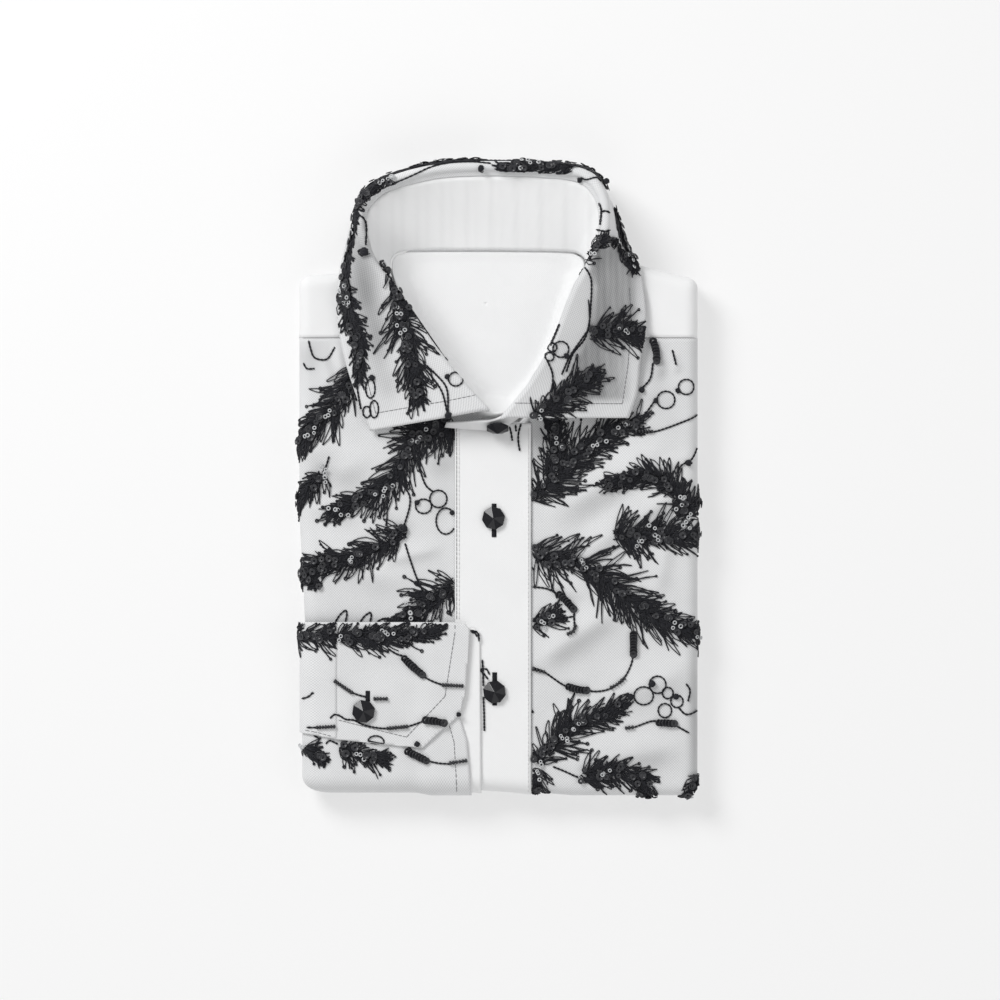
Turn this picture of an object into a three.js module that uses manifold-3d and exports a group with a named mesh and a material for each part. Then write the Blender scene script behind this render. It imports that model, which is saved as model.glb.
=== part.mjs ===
// A folded dress shirt that lies flat, front up, in millimetres.
// X runs to the viewer's right, Y towards the collar, Z up. The origin is the middle of the underside.
// Cloth positions are given as (s, t): the place on the folded pile's face, measured along the cloth,
// so that s and t go on growing where the cloth turns down over the pile's edges.

import * as THREE from 'three';
import { mergeVertices } from 'three/addons/utils/BufferGeometryUtils.js';
import Module from 'manifold-3d';

const wasm = await Module();
wasm.setup();

// Driving dimensions of the folded pile
const HALF_WIDTH = 107.8;
const HALF_LENGTH = 171.6;
const HEIGHT_AT_HEM = 19;
const HEIGHT_AT_YOKE = 23;
const YOKE_SEAM_Y = 76;
const FOLD_RADIUS = 6.5;
const FOLD_DROP = 3;
const QUARTER = FOLD_RADIUS * Math.PI / 2;

// Cloth walls
const FRONT_WALL = 1.4;
const YOKE_WALL = 1.4;
const PLACKET_WALL = 1.2;
const CUFF_WALL = 1.2;
const STAND_WALL = 1.7;
const LEAF_WALL = 1.7;
const SEAM_GAP = 0.3;
const LAYER_GAP = 0.3;
const CORE_GAP = 0.8;
const GRID_STEP = 11;
const CORE_STEP = 18;

// Placket and fronts
const PLACKET_LEFT = -23.5;
const PLACKET_RIGHT = 17.6;
const PLACKET_TOP = 30;
const RIGHT_FRONT_EDGE = 8;
const PLACKET_LIFT = LAYER_GAP + PLACKET_WALL;

// Shoulder line, where the yoke turns down at the back
const SHOULDER = { leftEnd: 109.5, leftRise: 0.08, rightEnd: 107.3, rightRise: 0.26 };
const NECK_BACK = { x: -6, y: 124.6, halfWidth: 42, blend: 12 };
const TOP_NOMINAL = 112;

// Cuff and sleeve, lying over the front
const CUFF_TOP = -77.6;
const CUFF_SEAM_X = -89.5;
const FACING_LIFT = LAYER_GAP + CUFF_WALL;
const UNDERLAP_LIFT = FACING_LIFT + LAYER_GAP + CUFF_WALL;
const CUFF_LIFT = UNDERLAP_LIFT + LAYER_GAP + CUFF_WALL;
const SLEEVE_EDGE_LIFT = UNDERLAP_LIFT;
const UNDERLAP_EDGE_LIFT = FACING_LIFT;
const RECESS_UNDER_SLEEVE = { full: -78, none: -20 };
const RECESS_UNDER_CUFF = { full: -13, none: 40 };

// Neck hollow
const PIT_FLOOR = 11.2;
const YOKE_FLOOR = PIT_FLOOR + LAYER_GAP + YOKE_WALL;
const NECK_CLEARANCE = 2.2;
const NECK_CENTRE = { x: -7, y: 95 };
const TRAY_RIM_INSET = 1.5;
const TRAY_RIM_DROP = 1;
const TRAY_RISE = { start: 0.78, pull: 0.006 };
const TRAY_RINGS = [0.001, 0.45, TRAY_RISE.start, 0.9, 1];

// Heights between which a trimming prism reaches past every piece
const PRISM_LOW = -5;
const PRISM_HIGH = 80;

// Collar roll
const ROLL_RADIUS = 2.7;
const INNER_LEG = 3;
const LEAF_BOW = 1.4;
const LEAF_FALL_STEPS = 4;
const ROLL_ANGLES = { inside: 180, rising: 120, top: 80, steepest: 4, flattest: 70 };
const STAND_ROWS = 4;
const COLLAR_COLUMNS = 46;

// Buttons: faceted crystal
const BUTTON_RADIUS = 6.35;
const BUTTON_HEIGHT = 4.6;
const BUTTON_RIM = 1.7;
const BUTTON_FACETS = 8;

// Collar sections from the left front tip round the back of the neck to the right front tip.
// band: lower edge of the stand. roll: inner edge of the fold line. edge: outer edge of the leaf.
const COLLAR = [
  { band: [-9, 34, 23.8], roll: [-4.5, 37, 42], edge: [-69.5, 25.7, 26.6] },
  { band: [-31, 57, 22.2], roll: [-27.3, 63, 43.5], edge: [-75.5, 40.8, 26.8] },
  { band: [-49, 84, 22], roll: [-46.8, 90.5, 45], edge: [-84.6, 69.7, 27] },
  { band: [-55, 101, 20.5], roll: [-57.6, 106.2, 45.5], edge: [-87.3, 91, 26.8] },
  { band: [-58.5, 114, 18], roll: [-67.5, 120, 45], edge: [-87, 106, 25.4] },
  { band: [-57, 120.5, 16], roll: [-71.8, 133, 44], edge: [-84, 122, 14] },
  { band: [-51, 123, 14.6], roll: [-72, 145, 42.5], edge: [-79, 141, 7] },
  { band: [-40, 123.5, 14.4], roll: [-64, 155, 40], edge: [-70, 158, 3.5] },
  { band: [-26, 123.6, 14.4], roll: [-34.3, 164, 37], edge: [-36, 169.6, 2.4] },
  { band: [-8, 123.6, 14.4], roll: [-7, 165.8, 35.5], edge: [-7, 171.4, 2.2] },
  { band: [16, 123.4, 14.4], roll: [22, 165, 36.5], edge: [22.5, 170.8, 2.4] },
  { band: [34, 123, 14.5], roll: [46, 160.8, 39.5], edge: [50, 166, 3.5] },
  { band: [42, 122.2, 15], roll: [54, 149, 42.5], edge: [61.5, 150, 7] },
  { band: [46.5, 119, 16.4], roll: [54, 131, 44.5], edge: [70.5, 127, 13.5] },
  { band: [47.4, 115.8, 17.3], roll: [50.5, 122.5, 45], edge: [75.3, 116, 24.4] },
  { band: [46.6, 111, 18.5], roll: [46.8, 115, 45], edge: [77.8, 105.5, 26.2] },
  { band: [43, 97, 21.5], roll: [39.8, 103, 45.5], edge: [79.7, 88, 27] },
  { band: [32, 64, 22.2], roll: [26.8, 70.5, 44.5], edge: [76.5, 60.8, 27] },
  { band: [22, 45.5, 22.4], roll: [15.9, 51.6, 43], edge: [74.9, 45.7, 26.8] },
  { band: [9, 31.5, 24], roll: [0.5, 32.5, 42], edge: [70.5, 32.7, 26.6] },
];
// Ends of the stand past the leaf: the under end, and the upper end that buttons over it.
const STAND_UNDER_END = [
  { band: [4, 32.2, 24.6], top: [4.5, 36.6, 34.5] },
];
const STAND_UPPER_END = [
  { band: [0, 27.6, 25], top: [-2, 32.4, 35.4] },
  { band: [-12, 27.3, 25], top: [-13, 31.4, 34] },
  { band: [-29, 28.6, 25], top: [-28, 30.6, 29] },
];

// Soft ridges in the fronts: a line on the face, its half width and its height.
const FOLDS = [
  { from: [34, -16], to: [84, 14], width: 9, height: 2.2 },
  { from: [48, -38], to: [98, -6], width: 7, height: 1.5 },
  { from: [22, -97], to: [60, -72], width: 8, height: 2.1 },
  { from: [62, -118], to: [100, -104], width: 9, height: 1.4 },
  { from: [44, -152], to: [92, -147], width: 8, height: 1.6 },
  { from: [40, 58], to: [90, 44], width: 8, height: 1.2 },
  { from: [-104, 12], to: [-76, 3], width: 8, height: 1.8 },
  { from: [-52, 6], to: [-30, -14], width: 8, height: 1.3 },
  { from: [-100, -40], to: [-52, -56], width: 9, height: 1.4 },
];

const clamp = THREE.MathUtils.clamp;
const lerp = THREE.MathUtils.lerp;
const smoothstep = THREE.MathUtils.smoothstep;

// Share that falls evenly from 1 to 0
function ramp(value, { full, none }) {
  return clamp((none - value) / (none - full), 0, 1);
}

// Edges of the pile in plan. They draw in where the sleeve and the cuff turn over them.
function leftEdge(t) {
  return -HALF_WIDTH + SLEEVE_EDGE_LIFT * ramp(t, RECESS_UNDER_SLEEVE);
}

function bottomEdge(s) {
  return -HALF_LENGTH + (UNDERLAP_LIFT + PLACKET_LIFT) * ramp(s, RECESS_UNDER_CUFF);
}

function topEdge(s) {
  const side = s < 0
    ? SHOULDER.leftEnd + SHOULDER.leftRise * (HALF_WIDTH + s)
    : SHOULDER.rightEnd + SHOULDER.rightRise * (HALF_WIDTH - s);
  const fromNeck = Math.abs(s - NECK_BACK.x) - NECK_BACK.halfWidth;
  return lerp(NECK_BACK.y, side, smoothstep(fromNeck, 0, NECK_BACK.blend));
}

function pileHeight(t) {
  return lerp(HEIGHT_AT_YOKE, HEIGHT_AT_HEM, ramp(t, { full: -HALF_LENGTH, none: YOKE_SEAM_Y }));
}

// Point on the pile's face, turned down over its edges, moved out by lift
function pile(s, t, lift = 0) {
  const middleX = clamp(s, leftEdge(t) + FOLD_RADIUS, HALF_WIDTH - FOLD_RADIUS);
  const middleY = clamp(t, bottomEdge(middleX) + FOLD_RADIUS, topEdge(middleX) - FOLD_RADIUS);
  const overX = Math.abs(s - middleX) / QUARTER;
  const overY = Math.abs(t - middleY) / QUARTER;
  const over = Math.max(overX, overY);
  let heading = 0;
  if (over > 0) {
    heading = overX >= overY
      ? Math.PI / 4 * overY / overX
      : Math.PI / 2 - Math.PI / 4 * overX / overY;
  }
  const turn = Math.min(over, 1) * Math.PI / 2;
  const drop = Math.max(over - 1, 0) * QUARTER;
  const reach = (FOLD_RADIUS + lift) * Math.sin(turn);
  return new THREE.Vector3(
    middleX + Math.sign(s - middleX) * reach * Math.cos(heading),
    middleY + Math.sign(t - middleY) * reach * Math.sin(heading),
    pileHeight(t) - FOLD_RADIUS + (FOLD_RADIUS + lift) * Math.cos(turn) - drop,
  );
}

// Height that the soft ridges add
function ridges(s, t) {
  let height = 0;
  for (const fold of FOLDS) {
    const along = new THREE.Vector2(fold.to[0] - fold.from[0], fold.to[1] - fold.from[1]);
    const length = along.length();
    along.normalize();
    const away = new THREE.Vector2(s - fold.from[0], t - fold.from[1]);
    const run = away.dot(along) / length;
    const aside = Math.abs(away.cross(along)) / fold.width;
    const taper = smoothstep(run, -0.25, 0.3) * (1 - smoothstep(run, 0.7, 1.25));
    height += fold.height * taper * Math.exp(-aside * aside);
  }
  return height;
}

// Closed wall between an outer and an inner grid of points
function wallGeometry(outer, inner) {
  const columns = outer.length;
  const rows = outer[0].length;
  const positions = [];
  for (const grid of [outer, inner]) {
    for (const column of grid) {
      for (const point of column) positions.push(point.x, point.y, point.z);
    }
  }
  const at = (layer, i, j) => layer * columns * rows + i * rows + j;
  const faces = [];
  const quad = (a, b, c, d) => faces.push(a, b, c, a, c, d);
  for (let i = 0; i + 1 < columns; i++) {
    for (let j = 0; j + 1 < rows; j++) {
      quad(at(0, i, j), at(0, i + 1, j), at(0, i + 1, j + 1), at(0, i, j + 1));
      quad(at(1, i, j), at(1, i, j + 1), at(1, i + 1, j + 1), at(1, i + 1, j));
    }
  }
  for (let i = 0; i + 1 < columns; i++) {
    quad(at(0, i, 0), at(1, i, 0), at(1, i + 1, 0), at(0, i + 1, 0));
    quad(at(0, i + 1, rows - 1), at(1, i + 1, rows - 1), at(1, i, rows - 1), at(0, i, rows - 1));
  }
  for (let j = 0; j + 1 < rows; j++) {
    quad(at(0, 0, j + 1), at(1, 0, j + 1), at(1, 0, j), at(0, 0, j));
    quad(at(0, columns - 1, j), at(1, columns - 1, j), at(1, columns - 1, j + 1), at(0, columns - 1, j + 1));
  }
  return facingOut(positions, faces);
}

function facingOut(positions, faces) {
  let volume = 0;
  const corner = (index) => new THREE.Vector3().fromArray(positions, index * 3);
  for (let f = 0; f < faces.length; f += 3) {
    volume += corner(faces[f]).dot(corner(faces[f + 1]).cross(corner(faces[f + 2])));
  }
  const geometry = new THREE.BufferGeometry();
  geometry.setAttribute('position', new THREE.Float32BufferAttribute(positions, 3));
  geometry.setIndex(volume < 0 ? faces.slice().reverse() : faces);
  return geometry;
}

// Stations across a panel: the flat share, and how far past a fold, in quarter turns
function stations(from, to, step, foldsAtStart, foldsAtEnd, overhang) {
  const quarterSteps = [1, 0.75, 0.5, 0.25];
  const past = overhang > 0 ? [1 + overhang / QUARTER, ...quarterSteps] : quarterSteps;
  const list = [];
  if (foldsAtStart) past.forEach((over) => list.push({ share: 0, over: -over }));
  const count = Math.max(1, Math.round((to - from) / step));
  for (let i = 0; i <= count; i++) list.push({ share: i / count, over: 0 });
  if (foldsAtEnd) past.slice().reverse().forEach((over) => list.push({ share: 1, over }));
  return list;
}

// The (s, t) grid of a panel. A side given as 'fold' turns down over the pile's edge.
function panelGrid({ left, right, bottom, top, step, overhang = FOLD_DROP }) {
  const startX = left === 'fold' ? -HALF_WIDTH + FOLD_RADIUS : left;
  const endX = right === 'fold' ? HALF_WIDTH - FOLD_RADIUS : right;
  const startY = bottom === 'fold' ? -HALF_LENGTH + FOLD_RADIUS : bottom;
  const endY = top === 'fold' ? TOP_NOMINAL - FOLD_RADIUS : top;
  const across = stations(startX, endX, step, left === 'fold', right === 'fold', overhang);
  const along = stations(startY, endY, step, bottom === 'fold', top === 'fold', overhang);
  const place = (column, row) => {
    const nominalS = lerp(startX, endX, column.share);
    const lowT = bottom === 'fold' ? bottomEdge(nominalS) + FOLD_RADIUS : bottom;
    const highT = top === 'fold' ? topEdge(nominalS) - FOLD_RADIUS : top;
    const t = lerp(lowT, highT, row.share) + row.over * QUARTER;
    const lowS = left === 'fold' ? leftEdge(t) + FOLD_RADIUS : left;
    const s = lerp(lowS, endX, column.share) + column.over * QUARTER;
    return [s, t];
  };
  return across.map((column) => along.map((row) => place(column, row)));
}

function panel(sides, thickness, lift) {
  const grid = panelGrid(sides);
  const layer = (depth) => grid.map((column) => column.map(([s, t]) => pile(s, t, lift(s, t) - depth)));
  return wallGeometry(layer(0), layer(thickness));
}

// Cutting and trimming
function toSolid(geometry) {
  const bare = new THREE.BufferGeometry();
  bare.setAttribute('position', geometry.getAttribute('position').clone());
  if (geometry.index) bare.setIndex(geometry.index.clone());
  const merged = mergeVertices(bare, 1e-4);
  return new wasm.Manifold(new wasm.Mesh({
    numProp: 3,
    vertProperties: new Float32Array(merged.getAttribute('position').array),
    triVerts: new Uint32Array(merged.index.array),
  }));
}

// Back to a mesh, without the loose specks that a trimmed rim can leave
function toGeometry(solid) {
  const pieces = solid.decompose().sort((a, b) => b.volume() - a.volume());
  const mesh = pieces[0].getMesh();
  const geometry = new THREE.BufferGeometry();
  geometry.setAttribute('position', new THREE.BufferAttribute(new Float32Array(mesh.vertProperties), 3));
  geometry.setIndex(new THREE.BufferAttribute(new Uint32Array(mesh.triVerts), 1));
  return geometry;
}

function prism(outline, low, high) {
  const shape = new THREE.Shape(outline.map(([x, y]) => new THREE.Vector2(x, y)));
  const geometry = new THREE.ExtrudeGeometry(shape, { depth: high - low, bevelEnabled: false });
  geometry.translate(0, 0, low);
  return toSolid(geometry);
}

// Smooth line through the columns of a table of sections
function through(points) {
  const curve = new THREE.CatmullRomCurve3(points.map((point) => new THREE.Vector3(...point)), false, 'centripetal');
  return (share) => curve.getPoint(share);
}

const bandLine = through(COLLAR.map((row) => row.band));
const rollLine = through(COLLAR.map((row) => row.roll));
const edgeLine = through(COLLAR.map((row) => row.edge));
const shares = Array.from({ length: COLLAR_COLUMNS + 1 }, (_, i) => i / COLLAR_COLUMNS);

// Outline of the neckline seam in plan, moved out by a clearance
function necklineOutline(clearance) {
  const points = [];
  for (const share of shares) {
    const point = bandLine(share);
    const next = bandLine(Math.min(share + 0.01, 1));
    const before = bandLine(Math.max(share - 0.01, 0));
    const run = next.sub(before).setZ(0).normalize();
    const away = clearance + Math.max(clearance, 0) * smoothstep(point.y, 92, 112);
    points.push([point.x - run.y * away, point.y + run.x * away]);
  }
  return points;
}

// The neck hole that is cut from the fronts, the yokes and the folded layers
function neckHole(low) {
  const line = necklineOutline(NECK_CLEARANCE);
  const left = line.filter(([x, y]) => x < 0 && y < 115);
  const right = line.filter(([x, y]) => x > 0 && y < 113);
  const behindNeck = [[-63, 118], [-63, 140], [51.5, 140], [51.5, 118]];
  return prism([...left, ...behindNeck, ...right], low, PRISM_HIGH);
}

// Section of the leaf at one place along the collar: up from the stand, over the roll, down to the edge
function leafSection(share) {
  const roll = rollLine(share);
  const edge = edgeLine(share);
  const band = bandLine(share);
  const outward = edge.clone().sub(roll).setZ(0).normalize();
  const up = new THREE.Vector3(0, 0, 1);
  const centre = roll.clone().addScaledVector(outward, ROLL_RADIUS).addScaledVector(up, -ROLL_RADIUS);
  const onRoll = (degrees) => centre.clone()
    .addScaledVector(outward, ROLL_RADIUS * Math.cos(THREE.MathUtils.degToRad(degrees)))
    .addScaledVector(up, ROLL_RADIUS * Math.sin(THREE.MathUtils.degToRad(degrees)));
  const inside = onRoll(ROLL_ANGLES.inside);
  const legEnd = inside.clone().addScaledVector(band.clone().sub(inside).normalize(), INNER_LEG);
  const across = edge.clone().sub(centre).dot(outward);
  const slope = THREE.MathUtils.radToDeg(Math.atan2(across, centre.z - edge.z));
  const last = clamp(slope, ROLL_ANGLES.steepest, ROLL_ANGLES.flattest);
  const fall = onRoll(last);
  const points = [
    legEnd, inside, onRoll(ROLL_ANGLES.rising), onRoll(ROLL_ANGLES.top), onRoll((ROLL_ANGLES.top + last) / 2), fall,
  ];
  for (let k = 1; k <= LEAF_FALL_STEPS; k++) {
    const part = k / LEAF_FALL_STEPS;
    points.push(fall.clone().lerp(edge, part).addScaledVector(up, LEAF_BOW * Math.sin(Math.PI * part)));
  }
  return points;
}

// Top edge of the stand, just under the end of the leaf's inner leg
function standTop(share) {
  const [legEnd] = leafSection(share);
  return legEnd.clone().addScaledVector(bandLine(share).sub(legEnd).normalize(), LAYER_GAP);
}

// Wall with one face on a grid of points and the other moved in along the face's normals
function offsetWall(grid, thickness, side) {
  const columns = grid.length;
  const rows = grid[0].length;
  const inner = grid.map((column, i) => column.map((point, j) => {
    const alongColumns = grid[Math.min(i + 1, columns - 1)][j].clone().sub(grid[Math.max(i - 1, 0)][j]);
    const alongRows = column[Math.min(j + 1, rows - 1)].clone().sub(column[Math.max(j - 1, 0)]);
    const normal = alongColumns.cross(alongRows).normalize();
    return point.clone().addScaledVector(normal, thickness * side);
  }));
  return wallGeometry(grid, inner);
}

// Collar pieces
function collarLeaf() {
  return offsetWall(shares.map(leafSection), LEAF_WALL, -1);
}

function collarStand() {
  const rungCount = STAND_ROWS + 1;
  const rung = (low, high) => Array.from({ length: rungCount }, (_, k) => low.clone().lerp(high, k / STAND_ROWS));
  const place = (row) => rung(new THREE.Vector3(...row.band), new THREE.Vector3(...row.top));
  const ring = shares.map((share) => rung(bandLine(share), standTop(share)));
  return offsetWall([...STAND_UNDER_END.map(place), ...ring, ...STAND_UPPER_END.map(place)], STAND_WALL, -1);
}

// Inside of the yoke: a shallow tray whose sides rise to the neckline seam
function yokeInside() {
  const rim = necklineOutline(-TRAY_RIM_INSET);
  const layer = (depth) => shares.map((share, i) => TRAY_RINGS.map((ring) => {
    const climb = smoothstep(ring, TRAY_RISE.start, 1);
    const rise = Math.max(0, bandLine(share).z - TRAY_RIM_DROP - YOKE_FLOOR) * climb;
    const pull = 1 - depth * TRAY_RISE.pull * climb;
    return new THREE.Vector3(
      lerp(NECK_CENTRE.x, rim[i][0], ring * pull),
      lerp(NECK_CENTRE.y, rim[i][1], ring * pull),
      YOKE_FLOOR + rise - depth,
    );
  }));
  const top = layer(0);
  const under = layer(YOKE_WALL);
  return trayGeometry(top, under);
}

// A disc-like wall whose columns meet at a middle point and whose last column joins the first
function trayGeometry(top, under) {
  const positions = [];
  const rows = top[0].length;
  const count = top.length;
  const middle = (grid) => new THREE.Vector3(NECK_CENTRE.x, NECK_CENTRE.y, grid[0][0].z);
  for (const grid of [top, under]) {
    for (const column of grid) {
      for (const point of column.slice(1)) positions.push(point.x, point.y, point.z);
    }
  }
  const topMiddle = positions.length / 3;
  positions.push(...middle(top).toArray(), ...middle(under).toArray());
  const ringRows = rows - 1;
  const at = (layer, i, j) => layer * count * ringRows + (i % count) * ringRows + j;
  const faces = [];
  for (let i = 0; i < count; i++) {
    faces.push(topMiddle, at(0, i, 0), at(0, i + 1, 0));
    faces.push(topMiddle + 1, at(1, i + 1, 0), at(1, i, 0));
    for (let j = 0; j + 1 < ringRows; j++) {
      faces.push(at(0, i, j), at(0, i, j + 1), at(0, i + 1, j + 1), at(0, i, j), at(0, i + 1, j + 1), at(0, i + 1, j));
      faces.push(at(1, i, j), at(1, i + 1, j + 1), at(1, i, j + 1), at(1, i, j), at(1, i + 1, j), at(1, i + 1, j + 1));
    }
    const j = ringRows - 1;
    faces.push(at(0, i, j), at(1, i, j), at(1, i + 1, j), at(0, i, j), at(1, i + 1, j), at(0, i + 1, j));
  }
  return facingOut(positions, faces);
}

// Hidden layers of back, sleeves and hem: one rounded solid with folded lips round its sides
function foldedLayers() {
  const depth = FRONT_WALL + CORE_GAP;
  const grid = panelGrid({ left: 'fold', right: 'fold', bottom: 'fold', top: 'fold', step: CORE_STEP, overhang: 0 });
  const columns = grid.length;
  const rows = grid[0].length;
  const positions = [];
  grid.forEach((column) => column.forEach(([s, t]) => positions.push(...pile(s, t, -depth).toArray())));
  const at = (i, j) => i * rows + j;
  const faces = [];
  for (let i = 0; i + 1 < columns; i++) {
    for (let j = 0; j + 1 < rows; j++) {
      faces.push(at(i, j), at(i + 1, j), at(i + 1, j + 1), at(i, j), at(i + 1, j + 1), at(i, j + 1));
    }
  }
  const loop = [];
  for (let i = 0; i + 1 < columns; i++) loop.push([i, 0]);
  for (let j = 0; j + 1 < rows; j++) loop.push([columns - 1, j]);
  for (let i = columns - 1; i > 0; i--) loop.push([i, rows - 1]);
  for (let j = rows - 1; j > 0; j--) loop.push([0, j]);
  const LIPS = [
    { inset: depth, level: 1.04 },
    { inset: 3, level: 0.97 },
    { inset: 1.1, level: 0.9 },
    { inset: 1.1, level: 0.72 },
    { inset: 3, level: 0.66 },
    { inset: 0.7, level: 0.59 },
    { inset: 0.7, level: 0.4 },
    { inset: 3, level: 0.34 },
    { inset: 1.3, level: 0.27 },
    { inset: 1.3, level: 0.08 },
    { inset: 2.2, level: 0 },
  ];
  let before = loop.map(([i, j]) => at(i, j));
  for (const lip of LIPS) {
    const ring = loop.map(([i, j]) => {
      const [s, t] = grid[i][j];
      const point = pile(s, t, -lip.inset);
      const lipsTop = pileHeight(t) - FOLD_RADIUS - FOLD_DROP;
      positions.push(point.x, point.y, lipsTop * lip.level);
      return positions.length / 3 - 1;
    });
    loop.forEach((_, k) => {
      const next = (k + 1) % loop.length;
      faces.push(before[k], ring[next], before[next], before[k], ring[k], ring[next]);
    });
    before = ring;
  }
  positions.push(0, 0, 0);
  const middle = positions.length / 3 - 1;
  before.forEach((index, k) => faces.push(index, middle, before[(k + 1) % before.length]));
  const layers = toSolid(facingOut(positions, faces));
  return toGeometry(layers.subtract(neckHole(PIT_FLOOR)));
}

// Fronts, placket and yokes
const withoutNeck = (geometry) => toGeometry(toSolid(geometry).subtract(neckHole(PRISM_LOW)));

function frontRight() {
  return withoutNeck(panel(
    { left: 'fold', right: RIGHT_FRONT_EDGE, bottom: 'fold', top: YOKE_SEAM_Y - SEAM_GAP / 2, step: GRID_STEP },
    FRONT_WALL,
    (s, t) => ridges(s, t) * (1 - smoothstep(s, -38, -24)) * smoothstep(t, CUFF_TOP, CUFF_TOP + 14),
  ));
}

function frontLeft() {
  return withoutNeck(panel(
    { left: PLACKET_RIGHT + SEAM_GAP, right: 'fold', bottom: 'fold', top: YOKE_SEAM_Y - SEAM_GAP / 2, step: GRID_STEP },
    FRONT_WALL,
    (s, t) => ridges(s, t) * smoothstep(s, 20, 30),
  ));
}

function placket() {
  return withoutNeck(panel(
    { left: PLACKET_LEFT, right: PLACKET_RIGHT, bottom: 'fold', top: PLACKET_TOP, step: GRID_STEP },
    PLACKET_WALL,
    () => PLACKET_LIFT,
  ));
}

function yoke(sides) {
  return withoutNeck(panel(
    { ...sides, bottom: YOKE_SEAM_Y + SEAM_GAP / 2, top: 'fold', step: GRID_STEP },
    YOKE_WALL,
    () => 0,
  ));
}

// Cuff pieces, trimmed to their outlines
const overPlacket = (s) => PLACKET_LIFT * smoothstep(s, -46, -35);

const CUFF_OUTLINE = [
  [CUFF_SEAM_X + SEAM_GAP / 2, CUFF_TOP], [-24, CUFF_TOP], [-17.5, -78.6], [-15.4, -82.4],
  [-18.1, -116.5], [-21.4, -127.8], [-41.3, -145.7], [CUFF_SEAM_X + SEAM_GAP / 2, -141],
];
const SLEEVE_OUTLINE = [
  [-125, CUFF_TOP], [CUFF_SEAM_X - SEAM_GAP / 2, CUFF_TOP],
  [CUFF_SEAM_X - SEAM_GAP / 2, -141], [-125, -134.5],
];
const UNDERLAP_OUTLINE = [
  [-125, -108], [-22, -108], [-21.6, -127.8], [-17, -144], [-13.8, -185], [-125, -185],
];
const FACING_OUTLINE = [
  [-86, -80.6], [-13, -80.6], [-10.2, -83], [-9.2, -185], [-86, -185],
];

function cuffPiece(outline, sides, lift) {
  const wall = panel({ ...sides, step: GRID_STEP }, CUFF_WALL, lift);
  return toGeometry(toSolid(wall).intersect(prism(outline, PRISM_LOW, PRISM_HIGH)));
}

const cuffLift = (s) => lerp(SLEEVE_EDGE_LIFT, CUFF_LIFT, smoothstep(s, -105, -90)) + overPlacket(s);
const underlapLift = (s) => lerp(UNDERLAP_EDGE_LIFT, UNDERLAP_LIFT, smoothstep(s, -105, -90)) + overPlacket(s);

const cuff = () => cuffPiece(
  CUFF_OUTLINE, { left: CUFF_SEAM_X - 1, right: -12, bottom: -150, top: CUFF_TOP }, cuffLift);
const sleeve = () => cuffPiece(
  SLEEVE_OUTLINE, { left: 'fold', right: CUFF_SEAM_X, bottom: -150, top: CUFF_TOP }, cuffLift);
const cuffUnderlap = () => cuffPiece(
  UNDERLAP_OUTLINE, { left: 'fold', right: -12, bottom: 'fold', top: -104, overhang: 0 }, underlapLift);
const cuffFacing = () => cuffPiece(
  FACING_OUTLINE, { left: -88, right: -8, bottom: 'fold', top: -78, overhang: 0 },
  (s) => FACING_LIFT + overPlacket(s));

// Buttons: a faceted crystal on a low rim
function buttonGeometry() {
  const profile = [
    [0, 0], [BUTTON_RADIUS * 0.86, 0], [BUTTON_RADIUS, BUTTON_RIM / 2],
    [BUTTON_RADIUS, BUTTON_RIM], [0, BUTTON_HEIGHT],
  ].map(([x, y]) => new THREE.Vector2(x, y));
  const geometry = new THREE.LatheGeometry(profile, BUTTON_FACETS);
  geometry.rotateX(Math.PI / 2);
  return toGeometry(toSolid(geometry));
}

const paleCloth = new THREE.MeshStandardMaterial({ color: 0xd8d9db, roughness: 0.85, metalness: 0 });
const whiteCloth = new THREE.MeshStandardMaterial({ color: 0xf1f1f1, roughness: 0.8, metalness: 0 });
const blackCrystal = new THREE.MeshStandardMaterial({ color: 0x15161a, roughness: 0.12, metalness: 0 });

const group = new THREE.Group();

function add(name, geometry, material) {
  const mesh = new THREE.Mesh(geometry, material.clone());
  mesh.name = name;
  group.add(mesh);
  return mesh;
}

add('folded_back_and_sleeves', foldedLayers(), whiteCloth);
add('front_right', frontRight(), paleCloth);
add('front_left', frontLeft(), paleCloth);
add('placket', placket(), whiteCloth);
add('yoke_right', yoke({ left: 'fold', right: -30 }), whiteCloth);
add('yoke_left', yoke({ left: 22, right: 'fold' }), whiteCloth);
add('yoke_inside', yokeInside(), whiteCloth);
add('collar_stand', collarStand(), whiteCloth);
add('collar_leaf', collarLeaf(), paleCloth);
add('sleeve_right', sleeve(), paleCloth);
add('cuff_right', cuff(), paleCloth);
add('cuff_underlap', cuffUnderlap(), paleCloth);
add('cuff_facing', cuffFacing(), whiteCloth);

// Buttons on the cloth, each a seam gap above its face
const BUTTONS = [
  { name: 'button_placket_1', at: [-2.7, -21.4], lift: PLACKET_LIFT },
  { name: 'button_placket_2', at: [-2.2, -115.4], lift: PLACKET_LIFT },
  { name: 'button_cuff', at: [-72.9, -125.8], lift: CUFF_LIFT },
];
for (const { name, at, lift } of BUTTONS) {
  const button = add(name, buttonGeometry(), blackCrystal);
  button.position.copy(pile(at[0], at[1], lift + LAYER_GAP));
}

// The collar button leans with the front of the stand
const collarButton = add('button_collar', buttonGeometry(), blackCrystal);
const STAND_LEAN = THREE.MathUtils.degToRad(64);
const COLLAR_BUTTON = [-0.5, 28.1, 31.7];
collarButton.rotation.x = STAND_LEAN;
collarButton.position.set(...COLLAR_BUTTON);

export default group;
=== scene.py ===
import itertools
import math

import bmesh
import bpy
import numpy as np
from mathutils import Matrix, Vector
from mathutils.bvhtree import BVHTree


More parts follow.
